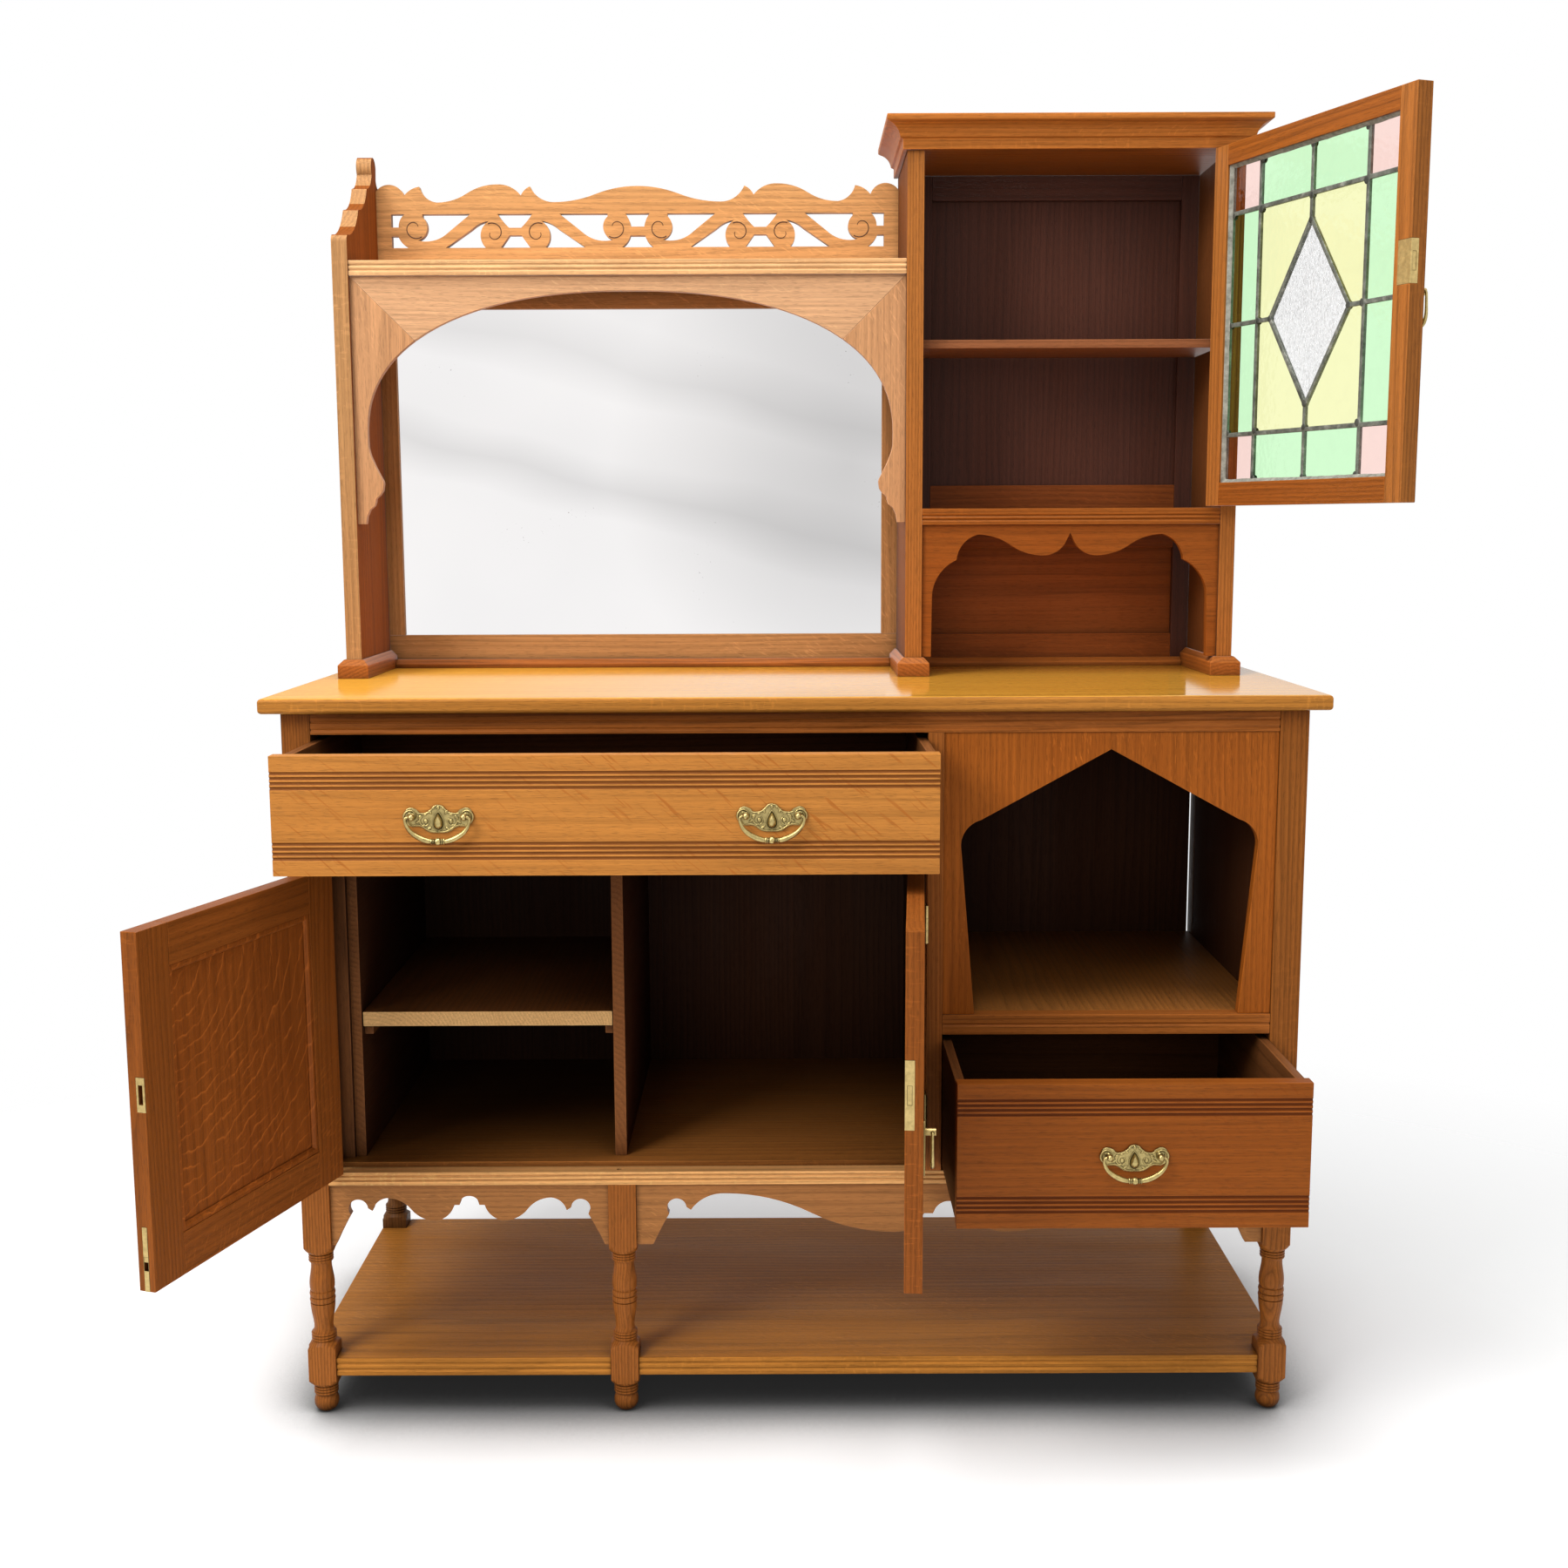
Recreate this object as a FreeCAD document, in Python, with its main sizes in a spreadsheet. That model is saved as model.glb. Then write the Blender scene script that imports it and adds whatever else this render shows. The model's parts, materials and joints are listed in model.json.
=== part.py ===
import FreeCAD, Part
import math
import os

# Oak mirror-back sideboard: a base on turned legs with a pot board, two cupboard
# doors, two drawers and an arched niche; above it a mirror under a pierced gallery
# and a small cabinet with a leaded door. Every piece is drawn closed and in place,
# with X to the right from the middle, Y from the base's front plane to the back and Z
# up from the floor. Doors and drawers are then set open, and the frame moves back to
# the middle of the footprint.

Vector = FreeCAD.Vector

# Driving sizes in millimetres, and angles in degrees.
SIZES = {
    "origin_back": 55,
    "top_width": 1372, "top_thickness": 20, "table_height": 981,
    "front_overhang": 24, "side_overhang": 22, "back_overhang": 3, "top_round": 5,
    "carcase_depth": 505, "leg_width": 38, "mid_leg_across": -234,
    "foot_height": 42, "block_top": 98, "turning_top": 228,
    "ring_radius": 16.5, "neck_radius": 12.5,
    "pot_board_bottom": 54, "pot_board_thickness": 25, "pot_board_setback": 3,
    "rail_bottom": 325, "bottom_rail_height": 18, "rail_depth": 22,
    "floor_lip": 7, "floor_thickness": 16,
    "apron_thickness": 14, "apron_setback": 6, "apron_drop": 86,
    "top_rail_height": 29, "drawer_rail_height": 21, "reed_width": 4,
    "divider_across": 172, "divider_width": 21, "partition_thickness": 17,
    "niche_rail_bottom": 530, "niche_rail_height": 27, "niche_floor_thickness": 16,
    "niche_panel_thickness": 16, "niche_panel_setback": 3,
    "niche_apex": 352, "niche_shoulder": 220, "niche_half_width": 193, "niche_foot_half_width": 174,
    "side_panel_thickness": 14, "side_rail_height": 70, "side_recess": 2,
    "back_thickness": 10, "back_boards": 6,
    "cupboard_divider_across": -246, "cupboard_divider_thickness": 16,
    "lining_offset": 28, "lining_thickness": 14, "lining_setback": 45,
    "shelf_bottom": 531, "shelf_thickness": 20, "shelf_setback": 48,
    "batten_width": 12, "batten_height": 14,
    "runner_width": 26, "runner_height": 18, "dust_board_thickness": 6, "dust_board_drop": 7,
    "long_drawer_height": 145, "long_drawer_pull": 200, "lower_drawer_pull": 208,
    "drawer_front_thickness": 21, "drawer_side_thickness": 12, "drawer_side_drop": 6,
    "drawer_bottom_thickness": 7, "drawer_bottom_lift": 8, "drawer_depth": 440,
    "drawer_gap": 2, "drawer_side_gap": 1, "slide_gap": 0.3,
    "groove_inset": 21, "groove_step": 6, "groove_count": 4,
    "door_thickness": 21, "door_gap": 2.4, "meeting_gap": 3, "door_end_gap": 2,
    "door_stile": 55, "door_rail": 50, "door_panel_thickness": 9, "bead_width": 9, "bead_height": 5,
    "left_door_open": 108, "right_door_open": 85.8, "glazed_door_open": 110,
    "hinge_height": 50, "hinge_inset": 55, "leaf_depth": 17, "leaf_thickness": 1,
    "knuckle_radius": 3.2, "pin_radius": 1.5, "pin_play": 0.05, "knuckle_play": 0.3, "hinge_stand_off": 0.2,
    "upper_front": 290, "end_thickness": 22, "left_end_inset": 19, "right_end_inset": 33,
    "mid_end_across": 160, "mid_end_thickness": 24,
    "foot_moulding_height": 27, "foot_moulding_projection": 11, "foot_moulding_slope": 8,
    "base_moulding_height": 13, "base_moulding_depth": 14,
    "gallery_height": 1546, "gallery_thickness": 21, "gallery_setback": 2,
    "fret_thickness": 14, "fret_band_bottom": 45, "fret_band_height": 49, "fret_rise": 26,
    "volute_radius": 19,
    "arch_thickness": 13, "arch_setback": 8, "arch_crown": 16, "arch_drop": 345, "arch_spring": 216,
    "mirror_stile": 24, "mirror_bottom": 1031, "mirror_top_rail": 25, "mirror_frame_thickness": 12,
    "mirror_lap": 8, "mirror_thickness": 4, "mirror_back_thickness": 7,
    "cabinet_floor_bottom": 1197, "cabinet_floor_thickness": 23,
    "cabinet_shelf_bottom": 1446, "cabinet_shelf_thickness": 12, "cabinet_shelf_setback": 34,
    "cabinet_rise": 166, "cabinet_top_thickness": 14,
    "cornice_height": 43, "cornice_projection": 30,
    "cabinet_stile": 26, "cabinet_rail": 36,
    "bat_wing_thickness": 13, "bat_wing_setback": 6,
    "glazed_thickness": 22, "glazed_stile": 31, "glazed_top_rail": 28, "glazed_bottom_rail": 32,
    "came_width": 6, "came_depth": 5, "glass_thickness": 3, "border_width": 66, "border_height": 65,
    "diamond_half_width": 84, "diamond_half_height": 118,
    "plate_half_width": 42, "plate_thickness": 2, "bail_post_across": 31, "bail_post_length": 12,
    "bail_post_radius": 4.5, "bail_rod_radius": 2, "bail_stand_off": 8, "bail_drop": 29, "bail_play": 0.08,
    "long_handle_across": 198, "handle_drop": 3,
    "drop_plate_width": 22, "drop_plate_height": 64, "drop_length": 40, "drop_half_width": 9,
    "drop_setback": 27, "glazed_drop_setback": 17, "right_handle_drop": 47.5, "glazed_handle_drop": 14,
    "right_lock_height": 80, "glazed_lock_height": 52,
    "lock_width": 11, "lock_depth": 24, "lock_bolt_height": 22, "lock_bolt_width": 5,
    "lock_bolt_throw": 6, "lock_play": 0.3, "right_lock_lift": 22.5, "glazed_lock_lift": 39,
    "strike_height": 40, "strike_thickness": 1.5,
    "bolt_plate_height": 76, "bolt_radius": 3, "bolt_length": 58, "bolt_throw": 10, "bolt_inset": 9,
    "bolt_play": 0.3,
}

doc = FreeCAD.newDocument("Sideboard")
sheet = doc.addObject("Spreadsheet::Sheet", "Sizes")
for row, (alias, number) in enumerate(SIZES.items(), start=1):
    sheet.set("A%d" % row, alias)
    sheet.set("B%d" % row, str(number))
    sheet.setAlias("B%d" % row, alias)
doc.recompute()


class Size:
    """A number together with the sheet formula that it comes from."""

    def __init__(self, value, text=None):
        self.value = float(value)
        self.text = text or repr(float(value))

    def __float__(self):
        return self.value

    def __add__(self, other):
        other = as_size(other)
        return Size(self.value + other.value, "(%s + %s)" % (self.text, other.text))

    def __sub__(self, other):
        other = as_size(other)
        return Size(self.value - other.value, "(%s - %s)" % (self.text, other.text))

    def __mul__(self, other):
        other = as_size(other)
        return Size(self.value * other.value, "(%s * %s)" % (self.text, other.text))

    def __truediv__(self, other):
        other = as_size(other)
        return Size(self.value / other.value, "(%s / %s)" % (self.text, other.text))

    def __radd__(self, other):
        return as_size(other) + self

    def __rsub__(self, other):
        return as_size(other) - self

    def __rmul__(self, other):
        return as_size(other) * self

    def __neg__(self):
        return Size(-self.value, "(-1 * %s)" % self.text)


def as_size(number):
    """Any plain number as a Size."""
    return number if isinstance(number, Size) else Size(number)


class Sheet:
    """The sheet's cells by their aliases."""

    def __getattr__(self, alias):
        return Size(sheet.get(alias), "Sizes." + alias)


s = Sheet()


class Outline:
    """A closed run of lines and arcs in a sketch plane."""

    def __init__(self, across, up):
        self.start = (float(across), float(up))
        self.pen = self.start
        self.runs = []

    def draw(self, kind, *points):
        points = [self.pen] + [(float(across), float(up)) for across, up in points]
        self.runs.append((kind, points))
        self.pen = points[-1]
        return self

    def line(self, across, up):
        """A straight edge."""
        return self.draw("line", (across, up))

    def arc(self, middle, end):
        """A circular edge through a middle point."""
        return self.draw("arc", middle, end)

    def swell(self, across, up):
        """An S-shaped edge of two equal arcs that is level at both ends."""
        step = (float(across) - self.pen[0]) / 2
        rise = (float(up) - self.pen[1]) / 2
        half_turn = math.atan2(abs(rise), abs(step))
        radius = (step ** 2 + rise ** 2) / (2 * abs(rise))
        along = math.copysign(radius * math.sin(half_turn), step)
        climb = math.copysign(radius * (1 - math.cos(half_turn)), rise)
        left, low = self.pen
        self.arc((left + along, low + climb), (left + step, low + rise))
        return self.arc((across - along, up - climb), (across, up))

    def turn(self, level_first, across, up):
        """A quarter turn, level at its start or at its end."""
        share = (0.66, 0.34) if level_first else (0.34, 0.66)
        left, low = self.pen
        middle = (left + (across - left) * share[0], low + (up - low) * share[1])
        return self.arc(middle, (across, up))

    def mirror(self, about=0):
        """The same edges again, back along the other side of an upright line."""
        twice = 2 * float(about)
        for kind, points in reversed(list(self.runs)):
            self.runs.append((kind, [(twice - across, up) for across, up in reversed(points)]))
        self.pen = self.runs[-1][1][-1]
        return self

    def flipped(self, about):
        """A copy on the other side of an upright line."""
        twice = 2 * float(about)
        copy = Outline(twice - self.start[0], self.start[1])
        copy.runs = [(kind, [(twice - across, up) for across, up in points]) for kind, points in self.runs]
        copy.pen = (twice - self.pen[0], self.pen[1])
        return copy

    def edges(self):
        """The curves, closed by a straight edge where the run ends away from its start."""
        runs = list(self.runs)
        if abs(self.pen[0] - self.start[0]) + abs(self.pen[1] - self.start[1]) > 1e-6:
            runs.append(("line", [self.pen, self.start]))
        return [make_edge(kind, [Vector(across, up, 0) for across, up in points]) for kind, points in runs]


def make_edge(kind, points):
    """One sketch curve of an outline."""
    if kind == "line":
        return Part.LineSegment(*points)
    return Part.Arc(*points)


def polygon(*points):
    """A closed outline of straight edges."""
    outline = Outline(*points[0])
    for point in points[1:]:
        outline.line(*point)
    return outline


def rectangle(across, up):
    """A closed rectangle between two pairs of limits."""
    return polygon((across[0], up[0]), (across[1], up[0]), (across[1], up[1]), (across[0], up[1]))


def bind(item, name, size):
    """Tie a property to the sheet."""
    item.setExpression(name, as_size(size).text)


def settle(item, place):
    """Tie an object's position to the sheet."""
    for axis, size in zip("xyz", place):
        bind(item, "Placement.Base." + axis, size)
    return item


def box(name, across, back, up):
    """A board between three pairs of limits."""
    board = doc.addObject("Part::Box", name)
    for side, (low, high) in zip(("Length", "Width", "Height"), (across, back, up)):
        bind(board, side, as_size(high) - low)
    return settle(board, (across[0], back[0], up[0]))


def cylinder(name, radius, length, place, axis=None):
    """A round bar that starts at a place, upright unless an axis is given."""
    bar = doc.addObject("Part::Cylinder", name)
    bind(bar, "Radius", radius)
    bind(bar, "Height", length)
    if axis is not None:
        bar.Placement = FreeCAD.Placement(Vector(), FreeCAD.Rotation(Vector(0, 0, 1), axis))
    return settle(bar, place)


def cut(name, base, tool):
    """A piece with another shape taken out of it."""
    result = doc.addObject("Part::Cut", name)
    result.Base = base
    result.Tool = tool
    return result


def fuse(name, *pieces):
    """Several shapes grown together into one piece."""
    result = doc.addObject("Part::MultiFuse", name)
    result.Shapes = list(pieces)
    return result


def new_sketch(body, role, outlines, offset=0):
    """A sketch of outlines on one of a body's own planes."""
    sketch = body.newObject("Sketcher::SketchObject", body.Name + "_outline")
    plane = next(item for item in body.Origin.OriginFeatures if item.Role == role)
    sketch.AttachmentSupport = [(plane, "")]
    sketch.MapMode = "FlatFace"
    sketch.AttachmentOffset = FreeCAD.Placement(Vector(0, 0, float(offset)), FreeCAD.Rotation())
    for outline in outlines:
        sketch.addGeometry(outline.edges(), False)
    return sketch


def plate(name, role, outlines, thickness, place):
    """Outlines raised to a thickness towards +X, +Y or +Z from a place."""
    body = doc.addObject("PartDesign::Body", name)
    pad = body.newObject("PartDesign::Pad", name + "_pad")
    pad.Profile = new_sketch(body, role, outlines)
    pad.Reversed = role == "XZ_Plane"
    bind(pad, "Length", thickness)
    return settle(body, place)


def dress(body, kind, size, chosen):
    """A fillet or chamfer along the edges of a body's last feature that a test picks."""
    doc.recompute()
    base = body.Tip
    names = ["Edge%d" % (i + 1) for i, edge in enumerate(base.Shape.Edges) if chosen(edge.BoundBox)]
    feature = body.newObject("PartDesign::" + kind, body.Name + "_" + kind.lower())
    feature.Base = (base, names)
    bind(feature, "Radius" if kind == "Fillet" else "Size", size)
    doc.recompute()
    return body


nodes = {}


def node(label, *pieces, pose=None):
    """One named sub-part of one or more separate pieces, in a body's pose."""
    group = doc.addObject("Part::Compound", label)
    group.Links = list(pieces)
    group.Label = label
    nodes[label] = (group, pose or FreeCAD.Placement())


# Shared places, worked out from the driving sizes.
half_width = s.top_width / 2 - s.side_overhang
post_inside = half_width - s.leg_width
back = s.carcase_depth
underside = s.table_height - s.top_thickness
rail_top = s.rail_bottom + s.bottom_rail_height
floor_top = rail_top + s.floor_lip
back_face = back - s.back_thickness
opening_top = underside - s.top_rail_height
drawer_rail_top = opening_top - s.long_drawer_height - 2 * s.drawer_gap
drawer_rail_bottom = drawer_rail_top - s.drawer_rail_height
divider_right = s.divider_across + s.divider_width
partition_left = s.divider_across + (s.divider_width - s.partition_thickness) / 2
partition_right = partition_left + s.partition_thickness
niche_rail_top = s.niche_rail_bottom + s.niche_rail_height
ceiling = drawer_rail_top - s.dust_board_drop - s.dust_board_thickness
lining_left = -post_inside + s.lining_offset
lining_right = lining_left + s.lining_thickness

left_end_out = -half_width + s.left_end_inset
left_end_in = left_end_out + s.end_thickness
right_end_out = half_width - s.right_end_inset
right_end_in = right_end_out - s.end_thickness
mid_end_right = s.mid_end_across + s.mid_end_thickness
gallery_top = s.gallery_height + s.gallery_thickness
cabinet_floor_top = s.cabinet_floor_bottom + s.cabinet_floor_thickness
cabinet_ceiling = s.gallery_height + s.cabinet_rise
glass_back = back - s.mirror_back_thickness
frame_back = glass_back - s.mirror_thickness
frame_front = frame_back - s.mirror_frame_thickness

hinge_out = s.knuckle_radius + s.hinge_stand_off
left_hinge = -post_inside + s.door_gap / 2
right_hinge = s.divider_across - s.door_gap / 2
glazed_hinge = right_end_in - s.door_gap / 2
door_bottom = rail_top + s.door_end_gap
door_top = drawer_rail_bottom - s.door_end_gap
door_left = -post_inside + s.door_gap
door_right = s.divider_across - s.door_gap
door_middle = (door_left + door_right) / 2
meeting_left = door_middle - s.meeting_gap / 2
meeting_right = door_middle + s.meeting_gap / 2
door_centre = (door_bottom + door_top) / 2
right_lock_level = door_centre + s.right_lock_lift
right_handle_level = door_centre - s.right_handle_drop
glazed_left = mid_end_right + s.door_end_gap
glazed_right = right_end_in - s.door_gap
glazed_bottom = cabinet_floor_top + s.door_end_gap
glazed_top = cabinet_ceiling - s.door_end_gap
glazed_centre = (glazed_bottom + glazed_top) / 2
glazed_lock_level = glazed_centre + s.glazed_lock_lift
glazed_handle_level = glazed_centre - s.glazed_handle_drop


def swing(across, front, degrees):
    """The pose of a door turned about its upright hinge axis."""
    turn = FreeCAD.Rotation(Vector(0, 0, 1), float(degrees))
    axis = Vector(float(across), float(front), 0)
    return FreeCAD.Placement(axis - turn.multVec(axis), turn)


left_door_pose = swing(left_hinge, -hinge_out, -s.left_door_open)
right_door_pose = swing(right_hinge, -hinge_out, s.right_door_open)
glazed_door_pose = swing(glazed_hinge, s.upper_front - hinge_out, s.glazed_door_open)
long_drawer_pose = FreeCAD.Placement(Vector(0, -float(s.long_drawer_pull), 0), FreeCAD.Rotation())
lower_drawer_pose = FreeCAD.Placement(Vector(0, -float(s.lower_drawer_pull), 0), FreeCAD.Rotation())


def reeded(depth, height, grooves):
    """A rail's section: front at zero, with a V groove centred at each level."""
    half = s.reed_width / 2
    outline = Outline(0, 0)
    for level in sorted(grooves, key=float):
        outline.line(0, level - half)
        outline.line(half, level)
        outline.line(0, level + half)
    outline.line(0, height)
    outline.line(depth, height)
    outline.line(depth, 0)
    return outline


# Base: legs, rails and panels.
def turned_post(name, across, depth, height):
    """A square post turned on the lathe between its foot and its upper block."""
    half = s.leg_width / 2
    beyond = half * 1.6
    corner = half * 0.3
    body = plate(name, "XY_Plane", [rectangle((-half, half), (-half, half))], height, (across, depth, 0))
    ring = s.ring_radius
    neck = s.neck_radius
    high = s.foot_height
    foot = Outline(beyond, 0)
    foot.line(neck + 1, 0)
    foot.arc((ring, high * 0.33), (neck + 1, high * 0.66))
    foot.line(ring, high * 0.70)
    foot.line(ring, high * 0.88)
    foot.line(beyond, high + corner)
    low = s.block_top
    span = s.turning_top - low
    turning = Outline(beyond, low - corner)
    turning.line(ring, low + span * 0.02)
    turning.line(ring, low + span * 0.10)
    turning.line(neck, low + span * 0.12)
    turning.arc((neck + (ring - neck) * 0.75, low + span * 0.29), (ring, low + span * 0.44))
    turning.line(ring, low + span * 0.56)
    turning.arc((ring - (ring - neck) * 0.125, low + span * 0.70), (neck + 1, low + span * 0.89))
    turning.line(ring, low + span * 0.90)
    turning.line(ring, low + span * 0.98)
    turning.line(beyond, s.turning_top + corner)
    groove = body.newObject("PartDesign::Groove", name + "_turning")
    sketch = new_sketch(body, "XZ_Plane", [foot, turning])
    groove.Profile = sketch
    groove.ReferenceAxis = (sketch, ["V_Axis"])
    groove.Angle = 360
    return body


leg_half = s.leg_width / 2
post_across = half_width - leg_half
node("front_posts", *[turned_post("front_post_" + side, sign * post_across, leg_half, underside)
                      for side, sign in (("left", -1), ("right", 1))],
     turned_post("middle_leg", s.mid_leg_across, leg_half, s.rail_bottom))
node("back_posts", *[turned_post("back_post_" + side, sign * post_across, back - leg_half, underside)
                     for side, sign in (("left", -1), ("right", 1))])

mid_leg_left = s.mid_leg_across - leg_half
mid_leg_right = s.mid_leg_across + leg_half


def pot_board():
    """The low shelf, grooved along its front edge and notched round the five legs."""
    third = s.pot_board_thickness / 3
    section = reeded(back - s.pot_board_setback, s.pot_board_thickness, [third, 2 * third])
    body = plate("pot_board_plank", "YZ_Plane", [section], 2 * half_width,
                 (-half_width, s.pot_board_setback, s.pot_board_bottom))
    notch_front = -s.pot_board_setback
    notch_back = s.leg_width - s.pot_board_setback
    rear = back - s.pot_board_setback
    notches = [rectangle(across, (notch_front, notch_back)) for across in (
        (0, s.leg_width),
        (half_width + mid_leg_left, half_width + mid_leg_right),
        (2 * half_width - s.leg_width, 2 * half_width))]
    notches += [rectangle(across, (rear - s.leg_width, rear)) for across in (
        (0, s.leg_width), (2 * half_width - s.leg_width, 2 * half_width))]
    pocket = body.newObject("PartDesign::Pocket", "pot_board_notches")
    pocket.Profile = new_sketch(body, "XY_Plane", notches)
    pocket.Type = "ThroughAll"
    pocket.Reversed = True
    return body


node("pot_board", pot_board())

bolt_across = meeting_left - s.bolt_inset
bolt_back = s.door_thickness / 2
bottom_section = reeded(s.rail_depth, s.bottom_rail_height,
                        [s.bottom_rail_height * 0.38, s.bottom_rail_height * 0.72])
bottom_rail = cut("bottom_rail",
                  plate("bottom_rail_strip", "YZ_Plane", [bottom_section], 2 * post_inside,
                        (-post_inside, 0, s.rail_bottom)),
                  cylinder("bolt_socket", s.bolt_radius + s.bolt_play, s.bolt_throw + s.bolt_play,
                           (bolt_across, bolt_back, rail_top - s.bolt_throw - s.bolt_play)))
top_section = reeded(s.rail_depth, s.top_rail_height, [s.reed_width * 1.5, s.top_rail_height * 0.55])
top_rail = plate("top_rail", "YZ_Plane", [top_section], 2 * post_inside, (-post_inside, 0, opening_top))
drawer_rail = box("drawer_rail", (-post_inside, s.divider_across), (0, s.rail_depth),
                  (drawer_rail_bottom, drawer_rail_top))
node("front_rails", bottom_rail, top_rail, drawer_rail)


def apron(name, left, right, foot, crest, low, motif):
    """A shaped board under the bottom rail: bracket, round lobe, cusp, long wave and stepped centre."""
    half = (right - left) / 2
    edge = -half
    crest_across, crest_drop = crest
    low_across, low_drop = low
    motif_half, motif_drop, motif_top = motif
    outline = Outline(edge, 0)
    outline.line(edge, -s.apron_drop)
    outline.line(edge + foot, -s.apron_drop)
    outline.arc((edge + foot + 8, -s.apron_drop + 17), (edge + foot + 22, -s.apron_drop + 43))
    outline.arc((edge + foot + 33, -22), (edge + foot + 45, -34))
    outline.line(edge + foot + 51, -38)
    outline.turn(False, edge + crest_across, -crest_drop)
    outline.swell(-low_across, -low_drop)
    outline.turn(True, -motif_half, -motif_drop)
    outline.line(-motif_half * 0.65, -motif_drop)
    outline.line(-motif_half * 0.55, -motif_drop + 7)
    outline.turn(False, 0, -motif_top)
    outline.mirror()
    return plate(name, "XZ_Plane", [outline], s.apron_thickness,
                 ((left + right) / 2, s.apron_setback, s.rail_bottom))


node("lower_aprons",
     apron("apron_left", -post_inside, mid_leg_left, 5, (76, 20), (46, 52), (20.5, 30, 17.5)),
     apron("apron_right", mid_leg_right, post_inside, 22, (120, 15), (72, 70), (34, 44, 27)))


def side_panel(name, sign):
    """One end of the base: two rails and a flat panel between the posts."""
    def across(inner, outer):
        return (inner, outer) if sign > 0 else (-outer, -inner)

    depth = (s.leg_width, back - s.leg_width)
    rail = across(post_inside, half_width - s.side_recess)
    panel = across(post_inside, post_inside + s.side_panel_thickness)
    low = s.rail_bottom + s.side_rail_height
    high = underside - s.side_rail_height
    return (box(name + "_low_rail", rail, depth, (s.rail_bottom, low)),
            box(name + "_panel", panel, depth, (low, high)),
            box(name + "_top_rail", rail, depth, (high, underside)))


node("carcase_sides", *side_panel("left_side", -1), *side_panel("right_side", 1))

board_width = 2 * post_inside / s.back_boards
back_board_edges = [-post_inside + i * board_width for i in range(int(float(s.back_boards)) + 1)]
node("carcase_back", *[box("back_board_%d" % i, limits, (back_face, back), (s.rail_bottom, underside))
                       for i, limits in enumerate(zip(back_board_edges, back_board_edges[1:]))])

node("cupboard_floor", box("cupboard_floor_board", (-post_inside, post_inside), (s.rail_depth, back_face),
                           (floor_top - s.floor_thickness, floor_top)))

node("middle_divider",
     box("divider_stile", (s.divider_across, divider_right), (0, s.rail_depth), (rail_top, opening_top)),
     box("partition", (partition_left, partition_right), (s.rail_depth, back_face), (floor_top, underside)))

cupboard_divider_right = s.cupboard_divider_across + s.cupboard_divider_thickness
cupboard_divider_left = s.cupboard_divider_across
inside = (s.lining_setback, back_face)
lining_up = (floor_top, ceiling)
batten_depth = (s.shelf_setback + s.batten_width, back_face)
batten_up = (s.shelf_bottom - s.batten_height, s.shelf_bottom)
node("cupboard_linings",
     box("cupboard_divider", (cupboard_divider_left, cupboard_divider_right), inside, lining_up),
     box("cupboard_lining", (lining_left, lining_right), inside, lining_up),
     box("lining_strip", (-post_inside, lining_left), (s.leg_width, s.lining_setback + s.lining_thickness),
         (floor_top, drawer_rail_top - s.runner_height)),
     box("shelf_batten_left", (lining_right, lining_right + s.batten_width), batten_depth, batten_up),
     box("shelf_batten_right", (cupboard_divider_left - s.batten_width, cupboard_divider_left),
         batten_depth, batten_up))
shelf_across = (lining_right + s.drawer_side_gap, cupboard_divider_left - s.drawer_side_gap)
node("cupboard_shelf", box("cupboard_shelf_board", shelf_across, (s.shelf_setback, back_face),
                           (s.shelf_bottom, s.shelf_bottom + s.shelf_thickness)))

runner_depth = (s.rail_depth, back_face)
runner_up = (drawer_rail_top - s.runner_height, drawer_rail_top)
left_runner = -post_inside + s.runner_width
right_runner = partition_left - s.runner_width
node("drawer_runners",
     box("left_drawer_runner", (-post_inside, left_runner), runner_depth, runner_up),
     box("right_drawer_runner", (right_runner, partition_left), runner_depth, runner_up),
     box("dust_board", (left_runner, right_runner), runner_depth,
         (ceiling, ceiling + s.dust_board_thickness)))


def niche_panel():
    """The front of the niche: a pointed opening with rounded shoulders and sides that draw in."""
    half = (post_inside - divider_right) / 2
    height = opening_top - niche_rail_top
    outline = Outline(-half, 0)
    outline.line(-half, height)
    outline.line(half, height)
    outline.line(half, 0)
    outline.line(s.niche_foot_half_width, 0)
    outline.line(s.niche_half_width, s.niche_shoulder)
    slope_across = s.niche_half_width * 0.87
    slope_up = s.niche_apex - (s.niche_apex - s.niche_shoulder) * 0.70
    bend = (s.niche_half_width * 0.97, s.niche_shoulder + (slope_up - s.niche_shoulder) * 0.66)
    outline.arc(bend, (slope_across, slope_up))
    outline.line(0, s.niche_apex)
    outline.line(-slope_across, slope_up)
    outline.arc((-bend[0], bend[1]), (-s.niche_half_width, s.niche_shoulder))
    outline.line(-s.niche_foot_half_width, 0)
    return plate("niche_panel_board", "XZ_Plane", [outline], s.niche_panel_thickness,
                 ((post_inside + divider_right) / 2, s.niche_panel_setback, niche_rail_top))


node("niche_panel", niche_panel())
niche_section = reeded(s.rail_depth, s.niche_rail_height, [s.niche_rail_height * 0.5])
node("niche_floor",
     plate("niche_rail", "YZ_Plane", [niche_section], post_inside - divider_right,
           (divider_right, 0, s.niche_rail_bottom)),
     box("niche_floor_board", (partition_right, post_inside), (s.rail_depth, back_face),
         (niche_rail_top - s.niche_floor_thickness, niche_rail_top)))


def table_top():
    """The table top, rounded along its front and ends."""
    top_back = back + s.back_overhang
    limits = rectangle((-s.top_width / 2, s.top_width / 2), (-s.front_overhang, top_back))
    body = plate("table_top_board", "XY_Plane", [limits], s.top_thickness, (0, 0, underside))
    rear = float(top_back) - 1
    return dress(body, "Fillet", s.top_round, lambda limit: limit.YMin < rear and limit.ZLength < 1)


node("table_top", table_top())


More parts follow.
